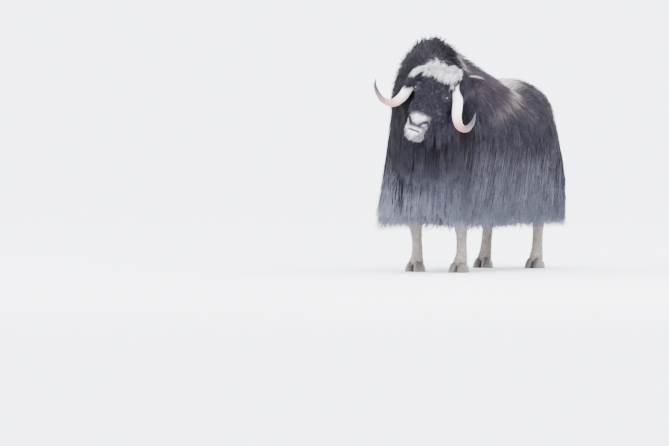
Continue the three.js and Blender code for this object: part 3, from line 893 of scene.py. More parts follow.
@dataclass(frozen=True)
class HornFinish(Finish):
    """Horn sheath, keratin: ivory from the root, rosy on the outer curve, black at the worn, polished tip."""

    name: str = "horn_sheath"
    ivory: str = "#efe6e2"
    rose: str = "#bf807b"
    brown: str = "#775652"
    tip: str = "#211d1f"
    roughness: float = 0.42
    fibre: float = 38  # noise cells to a metre, the broad streaks that still show at this size

    def surface(self, tree: Tree) -> tuple[Values, Links]:
        """Colour the horn by how far along it a point is, with fibrous streaks.

        Args:
            tree: The material's node tree.

        Returns:
            The shader's numbers and links.
        """
        along = add_node(tree, "ShaderNodeAttribute", attribute_name="Along")
        place = add_node(tree, "ShaderNodeTexCoord")
        values = {"Scale": self.fibre, "Detail": 5.0, "Roughness": 0.6, "Distortion": 0.4}
        links = {"Vector": place.outputs["Object"]}
        fibre = add_node(tree, "ShaderNodeTexNoise", values, links).outputs["Fac"]
        wander = add_node(tree, "ShaderNodeMath", {1: 0.12, 2: -0.06}, {0: fibre}, operation="MULTIPLY_ADD")
        links = {0: along.outputs["Fac"], 1: wander.outputs[0]}
        shifted = add_node(tree, "ShaderNodeMath", links=links, operation="ADD")
        ramp = add_node(tree, "ShaderNodeValToRGB", links={"Fac": shifted.outputs[0]})
        between = [(0.38, self.ivory), (0.56, self.rose), (0.74, self.brown)]
        set_stops(ramp, [(0.0, self.ivory), (0.86, self.tip), *between])
        bump = add_node(tree, "ShaderNodeBump", {"Strength": 0.35, "Distance": 0.0015}, {"Height": fibre})
        colour = toned(tree, ramp.outputs["Color"], fibre, 0.86, 1.06)
        values = {"Roughness": self.roughness, "IOR": 1.55, "Specular IOR Level": 0.5}
        return values, {"Base Color": colour, "Normal": bump.outputs[0]}


@dataclass(frozen=True)
class HoofFinish(Finish):
    """Hoof horn: near black, with paler scuffs and fine growth lines."""

    name: str = "hoof_horn"
    dark: str = "#2c2828"
    scuffed: str = "#5d544f"
    lines: float = 260  # growth lines to a metre, about 4 mm apart
    scuffs: float = 60  # noise cells to a metre, about the size of a scrape

    def surface(self, tree: Tree) -> tuple[Values, Links]:
        """Scuff the colour and line the surface.

        Args:
            tree: The material's node tree.

        Returns:
            The shader's numbers and links.
        """
        place = {"Vector": add_node(tree, "ShaderNodeTexCoord").outputs["Object"]}
        waves = {"Scale": self.lines / 6.28, "Distortion": 2.0, "Detail": 2.0}
        growth = add_node(tree, "ShaderNodeTexWave", waves, place, bands_direction="Z")
        scuff = add_node(tree, "ShaderNodeTexNoise", {"Scale": self.scuffs, "Detail": 4.0}, place)
        tints, share = {6: linear(self.dark), 7: linear(self.scuffed)}, {"Factor": scuff.outputs["Fac"]}
        colour = add_node(tree, "ShaderNodeMix", tints, share, data_type="RGBA")
        relief, height = {"Strength": 0.4, "Distance": 0.0012}, {"Height": growth.outputs["Fac"]}
        bump = add_node(tree, "ShaderNodeBump", relief, height)
        return {"Roughness": 0.5, "IOR": 1.55}, {"Base Color": colour.outputs[2], "Normal": bump.outputs[0]}


@dataclass(frozen=True)
class EyeFinish(Finish):
    """A wet eye: very dark iris and pupil under clear cornea, IOR 1.376, so it takes a sharp highlight."""

    name: str = "wet_eye"
    iris: str = "#160f0b"
    pupil: str = "#070506"
    grain: float = 700  # noise cells to a metre, the iris's own fleck

    def surface(self, tree: Tree) -> tuple[Values, Links]:
        """Colour the pupil, the iris and the dark ball round it.

        Args:
            tree: The material's node tree.

        Returns:
            The shader's numbers and links.
        """
        gaze = add_node(tree, "ShaderNodeAttribute", attribute_name="Gaze")
        ramp = add_node(tree, "ShaderNodeValToRGB", links={"Fac": gaze.outputs["Fac"]})
        set_stops(ramp, [(0.25, self.pupil), (1.0, self.pupil), (0.34, self.iris), (0.7, self.iris)])
        place = add_node(tree, "ShaderNodeTexCoord")
        values, links = {"Scale": self.grain, "Detail": 3.0}, {"Vector": place.outputs["Object"]}
        grain = add_node(tree, "ShaderNodeTexNoise", values, links)
        colour = toned(tree, ramp.outputs["Color"], grain.outputs["Fac"], 0.7, 1.2)
        values = {"Roughness": 0.06, "IOR": 1.376, "Coat Weight": 1.0, "Coat Roughness": 0.02}
        return values, {"Base Color": colour}


@dataclass(frozen=True)
class PaintFinish(Finish):
    """Matt floor paint, pale and even, so that only soft shadows show on it."""

    name: str = "studio_floor"
    colour: str = "#f2f3f6"

    def surface(self, tree: Tree) -> tuple[Values, Links]:
        """Return one plain, matt colour."""
        return {"Roughness": 0.9, "Base Color": linear(self.colour), "Specular IOR Level": 0.1}, {}


def set_stops(ramp: bpy.types.Node, stops: list[tuple[float, str]]) -> None:
    """Set a colour ramp's stops.

    Args:
        ramp: The ramp's node.
        stops: Places and colours: the first one, the last one, and then those between them.
    """
    band = ramp.color_ramp.elements
    for element, (position, colour) in zip(band, stops[:2]):
        element.position, element.color = position, linear(colour)
    for position, colour in stops[2:]:
        band.new(position).color = linear(colour)


# The meshes.


def deselect() -> None:
    """Leave nothing selected."""
    if bpy.context.object and bpy.context.object.mode != "OBJECT":
        bpy.ops.object.mode_set(mode="OBJECT")
    bpy.ops.object.select_all(action="DESELECT")


def activate(piece: Piece) -> None:
    """Select one object and make it active."""
    deselect()
    piece.select_set(True)
    bpy.context.view_layer.objects.active = piece


def edit_all(piece: Piece) -> None:
    """Take a piece into edit mode with all of it selected."""
    activate(piece)
    bpy.ops.object.mode_set(mode="EDIT")
    bpy.ops.mesh.select_all(action="SELECT")


def read_points(piece: Piece) -> Array:
    """Return a mesh's points."""
    flat = np.empty(len(piece.data.vertices) * 3)
    piece.data.vertices.foreach_get("co", flat)
    return flat.reshape(-1, 3)


def write_points(piece: Piece, points: Array) -> None:
    """Move a mesh's points."""
    piece.data.vertices.foreach_set("co", points.ravel())
    piece.data.update()


def apply_modifier(piece: Piece, kind: str, **settings: object) -> None:
    """Add a modifier to a piece and apply it.

    Args:
        piece: The piece that is changed.
        kind: The modifier's type.
        settings: The modifier's settings.
    """
    activate(piece)
    modifier = piece.modifiers.new(kind.lower(), kind)
    for name, setting in settings.items():
        setattr(modifier, name, setting)
    bpy.ops.object.modifier_apply(modifier=modifier.name)


def face_outwards(piece: Piece) -> None:
    """Turn every face of a closed piece outwards."""
    edit_all(piece)
    bpy.ops.mesh.normals_make_consistent(inside=False)
    bpy.ops.object.mode_set(mode="OBJECT")


def ball(name: str, segments: int, rings: int) -> Piece:
    """Add a ball of radius one at the origin.

    Args:
        name: The object's name.
        segments: Faces round it.
        rings: Faces from pole to pole.

    Returns:
        The ball.
    """
    deselect()
    bpy.ops.mesh.primitive_uv_sphere_add(segments=segments, ring_count=rings, radius=1)
    piece = bpy.context.object
    piece.name = name
    return piece


def on_ball(points: Array) -> tuple[Array, Array]:
    """Return where a ball's points lie from pole to pole, from 0 to 1, and their angles round it."""
    return np.arccos(np.clip(points[:, 2], -1, 1)) / math.pi, np.arctan2(points[:, 1], points[:, 0])


def shaped(form: Form, name: str, size: tuple[int, int], share: float = 0, inset: float = 0) -> Piece:
    """Draw a ball out into a form.

    Args:
        form: The form that it takes.
        name: The object's name.
        size: Faces round it and along it.
        share: How far into the coat's depth it reaches.
        inset: Metres by which it is drawn in.

    Returns:
        The closed body.
    """
    piece = ball(name, *size)
    t, turn = on_ball(read_points(piece))
    write_points(piece, form.points(t, turn, share, inset))
    face_outwards(piece)
    return piece


def pebble(name: str, at: Triple, half: Triple, pose: Matrix, turn: Matrix) -> Piece:
    """Add a closed ellipsoid.

    Args:
        name: The object's name.
        at: Its middle, in millimetres of the pose's frame.
        half: Its half sizes, in millimetres.
        pose: The frame that it stands in.
        turn: Its own turn in that frame.

    Returns:
        The ellipsoid.
    """
    piece = ball(name, 32, 20)
    whole = pose @ Matrix.Translation(Vector(at) * MM) @ turn @ Matrix.Diagonal((*(Vector(half) * MM), 1))
    piece.data.transform(whole)
    return piece


def joined(name: str, pieces: list[Piece]) -> Piece:
    """Join pieces into one object.

    Args:
        name: The new object's name.
        pieces: What it is made of.

    Returns:
        The joined object.
    """
    deselect()
    for piece in pieces:
        piece.select_set(True)
    bpy.context.view_layer.objects.active = pieces[0]
    bpy.ops.object.join()
    pieces[0].name = name
    return pieces[0]


def fused(name: str, pieces: list[Piece], voxel: float, rounds: int) -> Piece:
    """Join pieces and melt them into one smooth, closed body.

    Args:
        name: The body's name.
        pieces: What it is made of.
        voxel: How fine its faces are, in metres.
        rounds: How often it is smoothed.

    Returns:
        The body.
    """
    body = joined(name, pieces)
    apply_modifier(body, "REMESH", mode="VOXEL", voxel_size=voxel)
    apply_modifier(body, "SMOOTH", factor=0.5, iterations=rounds)
    return body


def cut(piece: Piece, tools: list[Piece], operation: str) -> None:
    """Cut or fuse tools into a piece and remove them."""
    for tool in tools:
        apply_modifier(piece, "BOOLEAN", operation=operation, object=tool, solver="EXACT")
        bpy.data.objects.remove(tool)


def round_off(piece: Piece) -> None:
    """Shade a piece smoothly all over."""
    activate(piece)
    bpy.ops.object.shade_smooth()


def store_colours(piece: Piece, colours: Array) -> None:
    """Store the pelt's colour on each point of a piece.

    Args:
        piece: The piece.
        colours: Linear red, green and blue for each point.
    """
    layer = piece.data.attributes.new("Pelt", "FLOAT_COLOR", "POINT")
    whole = np.ones((len(colours), 4), dtype=np.float32)
    whole[:, :3] = colours
    layer.data.foreach_set("color", whole.ravel())


def store_number(piece: Piece, name: str, numbers: Array) -> None:
    """Store one number on each point of a piece."""
    layer = piece.data.attributes.new(name, "FLOAT", "POINT")
    layer.data.foreach_set("value", numbers.astype(np.float32))


def place_piece(piece: Piece, material: bpy.types.Material, nodes: tuple[str, ...] = ()) -> None:
    """Finish a piece: its material, its body and the solids that it stands for.

    Args:
        piece: The finished mesh.
        material: Its only material.
        nodes: The CAD nodes that it replaces.
    """
    piece.data.materials.clear()
    piece.data.materials.append(material)
    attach(piece, "root")
    if nodes:
        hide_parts(*nodes)
    log.info("%s: %d faces", piece.name, len(piece.data.polygons))


# The skin.


@dataclass
class Hide:
    """The one skin under the coat, with lids, nostrils, lips and the cups of the ears."""

    anatomy: Anatomy
    pelt: Pelt
    body_voxel: float = 0.011
    head_voxel: float = 0.0034
    face_inset: float = 0.005
    tail_inset: float = 0.004
    leg_inset: float = 0.006
    ear_inset: float = 0.0015

    def build(self) -> Piece:
        """Model the skin and dress it.

        Returns:
            The skin.
        """
        skin = self._body()
        cut(skin, [self._head()], "UNION")
        points = read_points(skin)
        store_colours(skin, self.pelt.colours(points, self._on_head(points)))
        round_off(skin)
        flesh = ["torso", "neck", "head", "tail", "ear_left", "ear_right"]
        flesh += [f"leg_{limb.name}" for limb in LIMBS]
        place_piece(skin, HideFinish().material(), tuple(flesh))
        return skin

    def _on_head(self, points: Array) -> Array:
        """Tell which points of the skin belong to the head and the ears."""
        forms = [self.anatomy.skull, *self.anatomy.ears.values()]
        return np.any([form.inside(points, 0, 0.02) for form in forms], axis=0)

    def _body(self) -> Piece:
        """Return trunk, neck, tail and legs as one closed body."""
        anatomy = self.anatomy
        parts = [
            shaped(anatomy.trunk, "skin", (64, 96), SKIN_SHARE),
            shaped(anatomy.neck, "neck_form", (48, 48), SKIN_SHARE),
            shaped(anatomy.tail, "tail_form", (24, 32), inset=self.tail_inset),
        ]
        for name, leg in anatomy.legs.items():
            parts.append(shaped(leg, f"{name}_form", (28, 64), inset=self.leg_inset))
        return fused("skin", parts, self.body_voxel, 6)

    def _head(self) -> Piece:
        """Return the head as one closed body, with its openings cut."""
        anatomy, pose = self.anatomy, self.anatomy.head_pose
        parts = [shaped(anatomy.skull, "head_form", (56, 80), inset=self.face_inset)]
        for side in Side:
            for name, at, half, (x, y, z) in PAIRED_PADS:
                turn = turned(x, side.value * y, side.value * z)
                parts.append(pebble(name, on_side(side, at), half, pose, turn))
            parts.append(shaped(anatomy.ears[side], "ear_form", (40, 40), inset=self.ear_inset))
        for name, at, half, turn in MIDDLE_PADS:
            parts.append(pebble(name, at, half, pose, turned(*turn)))
        head = fused("head_form", parts, self.head_voxel, 3)
        cut(head, self._openings(), "DIFFERENCE")
        return head

    def _openings(self) -> list[Piece]:
        """Return what is cut from the head: sockets, lids, nostrils, the mouth and the ears' cups."""
        pose, look = self.anatomy.head_pose, math.radians(EYE_LOOK)
        (outer, high), (inner, low) = NOSTRIL
        tools = []
        for side in Side:
            way = side.value
            x, y, z = on_side(side, EYE_AT)
            ahead = (x + way * LIDS_AHEAD * math.cos(look), y - LIDS_AHEAD * math.sin(look), z)
            tools.append(pebble("socket", (x, y, z), (EYE_RADIUS + EYE_CLEARANCE,) * 3, pose, turned()))
            tools.append(pebble("lids", ahead, LIDS_HALF, pose, turned(z=-way * EYE_LOOK)))
            lean = turned(0, way * math.degrees(math.atan2(outer - inner, high - low)))
            tools.append(pebble("nostril", (way * (outer - 4), -106, high - 6), NOSTRIL_HALF, pose, lean))
            middle = (way * (outer + inner) / 2, -110, (high + low) / 2)
            tools.append(pebble("nostril_slit", middle, SLIT_HALF, pose, lean))
            tools.append(shaped(self.anatomy.ear_cup(side), "ear_hollow", (28, 28)))
        tools.append(pebble("mouth", (0, -72, MOUTH_LEVEL), MOUTH_HALF, pose, turned(LIP_TILT)))
        return tools


# The coat.


@dataclass
class Strands:
    """Many tufts at once: their middle lines, which way is out, and what each of them carries."""

    paths: Array
    outward: Array
    half: Array
    colour: Array
    spread: Array
    # Painted shade and light along each tuft: root_shade darkens it at the root, tip_shade lightens its tip.
    root_shade: float
    tip_shade: float = 1.06
    shade_reach: float = 0.7  # how far up a tuft the painted shade at its root goes
    patch: float = 0.003  # the size of one tuft's patch on the unwrap

    def __len__(self) -> int:
        """Return how many tufts there are."""
        return len(self.paths)

    def only(self, pick: Array) -> "Strands":
        """Return some of the tufts."""
        parts = (self.paths, self.outward, self.half, self.colour, self.spread)
        return Strands(*(part[pick] for part in parts), self.root_shade)

    def mesh(self, name: str) -> Piece:
        """Build the tufts as one mesh of closed, three-sided, tapered slivers.

        Args:
            name: The object's name.

        Returns:
            The mesh, with its colours and its unwrap.
        """
        count, knots, _ = self.paths.shape
        rings = knots - 1
        share = np.linspace(0, 1, knots)[:rings]
        wide = self.half[:, None] * (0.55 + 0.45 * np.sin(math.pi * np.minimum(share * 1.25 + 0.12, 1)))[None]
        wide = wide[..., None]
        along = unit(np.gradient(self.paths, axis=1))[:, :rings]
        out = self.outward[:, :rings]
        out = unit(out - along * np.einsum("nkc,nkc->nk", out, along)[..., None])
        side = np.cross(out, along)
        middle = self.paths[:, :rings]
        corners = [
            middle - side * wide - out * wide * 0.2,
            middle + side * wide - out * wide * 0.2,
            middle + out * wide * 0.5,
        ]
        rows = np.stack(corners, axis=2).reshape(count, rings * 3, 3)
        points = np.concatenate([rows, self.paths[:, -1:]], axis=1)
        faces, starts = self._faces(count, rings)
        data = bpy.data.meshes.new(name)
        data.vertices.add(points.shape[0] * points.shape[1])
        data.vertices.foreach_set("co", points.astype(np.float32).ravel())
        data.loops.add(len(faces))
        data.loops.foreach_set("vertex_index", faces)
        data.polygons.add(len(starts))
        data.polygons.foreach_set("loop_start", starts)
        data.update(calc_edges=True)
        piece = bpy.data.objects.new(name, data)
        bpy.context.scene.collection.objects.link(piece)
        self._dress(piece, faces, rings)
        return piece

    @staticmethod
    def _faces(count: int, rings: int) -> tuple[Array, Array]:
        """Number the corners of all tufts.

        Args:
            count: How many tufts.
            rings: Rings of three points on each, below its tip.

        Returns:
            The corner indices and each face's first corner.
        """
        sides = ((0, 1), (1, 2), (2, 0))
        single: list[tuple[int, ...]] = [(2, 1, 0)]
        for k in range(rings - 1):
            single += [(3 * k + a, 3 * k + b, 3 * k + 3 + b, 3 * k + 3 + a) for a, b in sides]
        last = 3 * (rings - 1)
        single += [(last + a, last + b, 3 * rings) for a, b in sides]
        flat = np.concatenate([np.array(face) for face in single])
        corners = (flat[None] + (np.arange(count) * (3 * rings + 1))[:, None]).ravel()
        sizes = np.tile(np.array([len(face) for face in single]), count)
        starts = np.concatenate([[0], np.cumsum(sizes)[:-1]])
        return corners.astype(np.int32), starts.astype(np.int32)

    def _dress(self, piece: Piece, corners: Array, rings: int) -> None:
        """Store each tuft's colours, with painted shade at its root and a little painted light at its tip,
        and its patch on the unwrap.

        Args:
            piece: The tufts' mesh.
            corners: The corner indices of its faces.
            rings: Rings of points on each tuft, below its tip.
        """
        knot = np.append(np.repeat(np.arange(rings), 3), rings)
        level = knot / rings
        shade = self.root_shade + (self.tip_shade - self.root_shade) * smooth(0, self.shade_reach, level)
        store_colours(piece, (self.colour[:, knot] * shade[None, :, None]).reshape(-1, 3))
        low, high = self.spread.min(axis=0), self.spread.max(axis=0)
        roots = 0.01 + 0.975 * (self.spread - low) / np.maximum(high - low, 1e-6)
        across = np.append(np.tile([0.0, 1.0, 0.5], rings), 0.5)
        patch = np.stack([across, level], axis=1) * self.patch
        chart = (roots[:, None, :] + patch[None]).reshape(-1, 2)
        layer = piece.data.uv_layers.new(name="OFBake")
        layer.data.foreach_set("uv", chart[corners].astype(np.float32).ravel())

    def triangles(self) -> int:
        """Return the triangles that the tufts take."""
        rings = self.paths.shape[1] - 1
        return len(self) * (6 * (rings - 1) + 4)


@dataclass
class Coat:
    """Hair over one form: where it is rooted, how it runs, how it gathers into locks, and its mesh."""

    name: str
    slot: str
    form: Form
    anatomy: Anatomy
    pelt: Pelt
    rings: int
    half: float  # half the width of a tuft, in metres
    gather: float  # how far a tuft's tip is drawn to its lock
    seed: int
    count: int = 0
    lock_spacing: float = 0.03
    reach: tuple[float, float] = (0.01, 0.99)
    blockers: list[tuple[Form, float, float]] = field(default_factory=list)
    on_head: bool = False
    mottle: float = 0.24  # how far locks differ in tone, and single hairs a little less
    sheen_share: float = 0.12  # the share of hairs whose tips take a painted sheen
    root_shade: float = 0.55  # how dark the hair is down in the coat: painted shade between the tufts
    piece_limit: int = 185_000  # triangles in one piece

    def density(self, u: Array, turn: Array) -> Array:
        """Return how close together the hair grows, 1 where it is densest."""
        return np.ones_like(u)

    def run(self, u: Array, turn: Array, dice: Array) -> tuple[Array, Array]:
        """Lay hairs over the form.

        Args:
            u: Root places along the form.
            turn: Root places round it.
            dice: Eight numbers from -1 to 1 for each hair.

        Returns:
            The middle lines and the outward directions.
        """
        raise NotImplementedError

    def roots(self, rng: np.random.Generator, count: int) -> tuple[Array, Array]:
        """Draw root places, evenly over the form's surface.

        Args:
            rng: The seeded source of numbers.
            count: How many roots.

        Returns:
            u and turn for each root.
        """
        low, high = self.reach
        near = 0.06 * (high - low)
        us = np.interp(np.linspace(0, 1, 181), [0, 0.25, 0.75, 1], [low, low + near, high - near, high])
        turns = np.linspace(-math.pi, math.pi, 121)
        middles = np.meshgrid((us[1:] + us[:-1]) / 2, (turns[1:] + turns[:-1]) / 2)
        grid_u, grid_turn = (middle.ravel() for middle in middles)
        step_u = np.tile(np.diff(us), len(turns) - 1)
        step_turn = turns[1] - turns[0]
        along = self.form.span((grid_u, grid_turn), (step_u / 2, 0), SPREAD_LEVEL)
        across = self.form.span((grid_u, grid_turn), (0, step_turn / 2), SPREAD_LEVEL)
        weight = np.linalg.norm(np.cross(along, across), axis=1) * self.density(grid_u, grid_turn)
        total = np.cumsum(weight) / weight.sum()
        picks = np.searchsorted(total, (np.arange(count) + rng.random(count)) / count)
        picks = np.minimum(picks, len(total) - 1)
        u = grid_u[picks] + (rng.random(count) - 0.5) * step_u[picks]
        return u, grid_turn[picks] + (rng.random(count) - 0.5) * step_turn

    def keep(self, points: Array) -> Array:
        """Tell which roots stand free of the neighbouring forms."""
        free = np.ones(len(points), dtype=bool)
        for form, share, grow in self.blockers:
            free &= ~form.inside(points, share, grow)
        return free

    def clear(self, paths: Array) -> Array:
        """Tell which tufts run clear of the neighbouring forms."""
        free = np.ones(len(paths), dtype=bool)
        for form, share, grow in self.blockers:
            for knot in range(1, paths.shape[1]):
                free &= ~form.inside(paths[:, knot], share, grow - 2 * MM)
        return free

    def grow(self) -> Strands:
        """Root the hair, gather it into locks and colour it.

        Returns:
            All tufts of this coat.
        """
        rng = np.random.default_rng(self.seed)
        u, turn = self.roots(rng, self.count)
        base = self.form.layer(u, turn, 0.0)
        free = self.keep(base)
        u, turn, base = u[free], turn[free], base[free]
        paths, outward = self.run(u, turn, rng.uniform(-1, 1, (len(u), 8)))
        guides = max(4, int(len(u) * self.leading_share()))
        pick = rng.choice(len(u), min(guides, len(u)), replace=False)
        lead, _ = self.run(u[pick], turn[pick], rng.uniform(-1, 1, (len(pick), 8)))
        tree = KDTree(len(pick))
        for index, spot in enumerate(base[pick]):
            tree.insert(spot, index)
        tree.balance()
        nearest = np.array([tree.find(spot)[1] for spot in base])
        level = np.linspace(0, 1, paths.shape[1])[None, :, None]
        pull = self.gather * level**1.3 * rng.uniform(0.5, 1.0, (len(u), 1, 1))
        paths = paths + (lead[nearest] - paths) * pull
        tone = rng.uniform(1 - self.mottle, 1 + self.mottle, len(pick))[nearest]
        colour = self.colour(paths, tone, rng)
        half = self.half * rng.uniform(0.7, 1.3, len(u))
        whole = Strands(paths, outward, half, colour, np.stack([turn, u], axis=1), self.root_shade)
        return whole.only(self.clear(paths))

    def colour(self, paths: Array, tone: Array, rng: np.random.Generator) -> Array:
        """Colour every knot of the tufts.

        Args:
            paths: The tufts' middle lines.
            tone: How light each tuft's lock is.
            rng: The seeded source of numbers.

        Returns:
            Linear red, green and blue for each knot.
        """
        count, knots, _ = paths.shape
        spots = np.repeat(paths[:, 1:2], knots, axis=1) if self.on_head else paths
        chance = np.repeat(rng.random(count), knots)
        colour = self.pelt.colours(spots.reshape(-1, 3), self.on_head, chance).reshape(paths.shape)
        # Painted sheen: a share of the tufts turns pale blue-grey towards the tip.
        sheen_tips = (rng.random(count) < self.sheen_share)[:, None] * 0.8 * np.linspace(0, 1, knots)[None] ** 3
        colour = self.pelt.blend(colour, self.pelt.sheen_tint, sheen_tips)
        single = 0.7 * self.mottle
        return colour * (tone * rng.uniform(1 - single, 1 + single, count))[:, None, None]

    def leading_share(self) -> float:
        """Work out how many hairs lead a lock, from the locks' spacing and the coat's area.

        Returns:
            Their share of all hairs.
        """
        grid_u = np.repeat(np.linspace(*self.reach, 41), 40)
        grid_turn = np.tile(np.linspace(-math.pi, math.pi, 40), 41)
        along, across = self.form.metric(grid_u, grid_turn)
        area = float(np.mean(along * across)) * (self.reach[1] - self.reach[0]) * 2 * math.pi
        return area / self.lock_spacing**2 / self.count

    def build(self) -> None:
        """Grow the hair and lay it down as pieces of limited size."""
        strands = self.grow()
        parts = math.ceil(strands.triangles() / self.piece_limit)
        order = np.argsort(strands.spread[:, 1] if parts < 3 else strands.spread[:, 0])
        material = HairFinish(f"{self.name}_hair").material()
        for index, pick in enumerate(np.array_split(order, parts)):
            piece = strands.only(pick).mesh(f"{self.name}_{index + 1}" if parts > 1 else self.name)
            place_piece(piece, material)

    def rise(self, dice: Array, low: float, high: float) -> Array:
        """Draw how the hairs stand up in the coat.

        Args:
            dice: The numbers drawn for each hair.
            low: The lowest level of a tip.
            high: The highest level of a tip.

        Returns:
            Each knot's level, from just under the skin up to its tip's.
        """
        level = np.linspace(0, 1, self.rings + 1)[None]
        tip = low + (high - low) * (dice[:, :1] + 1) / 2
        return ROOT_DEPTH + (tip - ROOT_DEPTH) * level**0.5

    def walk(
        self, u: Array, turn: Array, length: Array, heights: Array, lie: Callable[[Array], Array]
    ) -> tuple[Array, Array]:
        """Follow the lie of the coat over the form.

        Args:
            u: Root places along the form.
            turn: Root places round it.
            length: The length of each hair, in metres.
            heights: How high each knot stands in the coat.
            lie: The direction of growth by the angle from the top, in degrees: 0 back, 90 down, 180 ahead.

        Returns:
            The middle lines and the outward directions.
        """
        way = np.where(turn < 0, -1.0, 1.0)
        paths, outward = [], []
        place_u, place_turn = u.copy(), turn.copy()
        drop = np.zeros_like(u)
        for knot in range(self.rings + 1):
            spot = self.form.layer(place_u, place_turn, heights[:, knot])
            spot[:, 2] -= drop
            paths.append(spot)
            above, below = (self.form.layer(place_u, place_turn, level) for level in (1.2, 0.2))
            outward.append(unit(above - below))
            along, across = self.form.metric(place_u, place_turn)
            angle = np.radians(lie(np.abs(place_turn)))
            place_u = place_u - length / self.rings * np.cos(angle) / along
            drop += np.maximum(POLE - place_u, 0) * along
            place_u = np.maximum(place_u, POLE)
            place_turn = place_turn + way * length / self.rings * np.sin(angle) / across
        return np.stack(paths, axis=1), np.stack(outward, axis=1)

    def fall(self, root: Array, bend: Array, drop: Array, hang: "Hang") -> Array:
        """Let hair come out of the coat, bend over and fall.

        Args:
            root: Where each hair starts.
            bend: Where it bends over.
            drop: How far it falls, in metres.
            hang: How it strays on its way down.

        Returns:
            The middle lines.
        """
        out = bend - root
        out[:, 2] = 0
        out = unit(out)
        paths = [root]
        for share in np.linspace(0, 1, self.rings):
            spot = bend.copy()
            spot[:, 2] -= drop * share
            spot[:, 1] -= hang.blown * drop * share**hang.curve
            spot += out * (hang.flare * share**2 * hang.stray)[:, None]
            paths.append(spot)
        return np.stack(paths, axis=1)


@dataclass
class Hang:
    """How hanging hair is blown ahead for each metre that it falls, and how it flares at the hem."""

    blown: Array | float
    curve: float
    flare: float
    stray: Array


@dataclass
class TrunkCoat(Coat):
    """Back, flanks, rump and the long skirt."""

    def density(self, u: Array, turn: Array) -> Array:
        """Return fuller hair on the sides and the rump than under the belly."""
        angle = np.degrees(np.abs(turn))
        rear = smooth(0.12, 0.04, u) * smooth(50, 80, angle)
        return (1 - 0.75 * smooth(150, 172, angle) * (1 - rear)) * (1 + 1.6 * rear)

    def run(self, u: Array, turn: Array, dice: Array) -> tuple[Array, Array]:
        """Blend the hair that lies on the back into the hair that hangs as a skirt.

        Args:
            u: Root places along the form.
            turn: Root places round it.
            dice: Eight numbers from -1 to 1 for each hair.

        Returns:
            The middle lines and the outward directions.
        """
        angle = np.degrees(np.abs(turn))
        length = MM * np.interp(angle, *FLANK_LENGTH) * (1 + 0.25 * dice[:, 1])
        swerve = 15 * dice[:, 2]
        heights = self.rise(dice, 0.45, 1.04)
        lie = lambda around: np.interp(np.degrees(around), *FLANK_LIE) + swerve
        lying, outward = self.walk(u, turn, length, heights, lie)
        share = smooth(70, 100, angle)[:, None, None]
        return lying + (self._skirt(u, turn, dice) - lying) * share, outward

    def _skirt(self, u: Array, turn: Array, dice: Array) -> Array:
        """Hang hair from the flanks to the skirt's hem.

        Args:
            u: Root places along the form.
            turn: Root places round it.
            dice: Eight numbers from -1 to 1 for each hair.

        Returns:
            The middle lines.
        """
        bend = self.form.layer(u, turn, 0.35 + 0.3 * (dice[:, 3] + 1))
        chest = smooth(0.86, 0.92, u)
        under = smooth(136, 160, np.degrees(np.abs(turn))) * (1 - chest)
        hem = SKIRT_HEM - 10 + (CHEST_HEM - SKIRT_HEM) * chest + (BELLY_HEM - SKIRT_HEM) * under
        hem = MM * (hem + 17 * (dice[:, 4] + 1) ** 2)
        short = dice[:, 5] > 0.1
        hem = np.where(short, hem + 0.03 + 0.17 * (dice[:, 6] + 1), hem)
        hem = np.maximum(hem, (bend[:, 2] - 0.5 - 0.08 * dice[:, 7]) * smooth(0.06, 0.0, u))
        drop = np.maximum(bend[:, 2] - hem, 0.04)
        blown = np.interp(u, *SKIRT_BLOWN) * (1 + 0.5 * dice[:, 2])
        hang = Hang(blown, 1.3, 0.025, 1 + 0.6 * dice[:, 7])
        return self.fall(self.form.layer(u, turn, ROOT_DEPTH), bend, drop, hang)


@dataclass
class NeckCoat(Coat):
    """The bristling mane and the beard."""

    def run(self, u: Array, turn: Array, dice: Array) -> tuple[Array, Array]:
        """Blend the mane that lies back, with some hairs standing proud, into the beard that hangs.

        Args:
            u: Root places along the form.
            turn: Root places round it.
            dice: Eight numbers from -1 to 1 for each hair.

        Returns:
            The middle lines and the outward directions.
        """
        angle = np.degrees(np.abs(turn))
        proud = dice[:, 6] > 0.4
        length = MM * np.interp(angle, *MANE_LENGTH) * (1 + 0.3 * dice[:, 1]) * np.where(proud, 0.42, 1.0)
        heights = self.rise(dice, 0.5, 1.0) * np.where(proud, 1.55, 1.0)[:, None]
        swerve = np.where(proud, 34, 18) * dice[:, 2]
        lie = lambda around: np.interp(np.degrees(around), *MANE_LIE) + swerve
        lying, outward = self.walk(u, turn, length, heights, lie)
        bend = self.form.layer(u, turn, 0.4 + 0.3 * (dice[:, 3] + 1))
        hem = MM * (np.interp(angle, *BEARD_HEM) + 60 * (dice[:, 4] + 1))
        drop = np.maximum(bend[:, 2] - hem, 0.05)
        hang = Hang(0.12, 1.5, 0.012, 1 + dice[:, 7])
        hanging = self.fall(self.form.layer(u, turn, ROOT_DEPTH), bend, drop, hang)
        share = smooth(84, 112, angle)[:, None, None]
        return lying + (hanging - lying) * share, outward


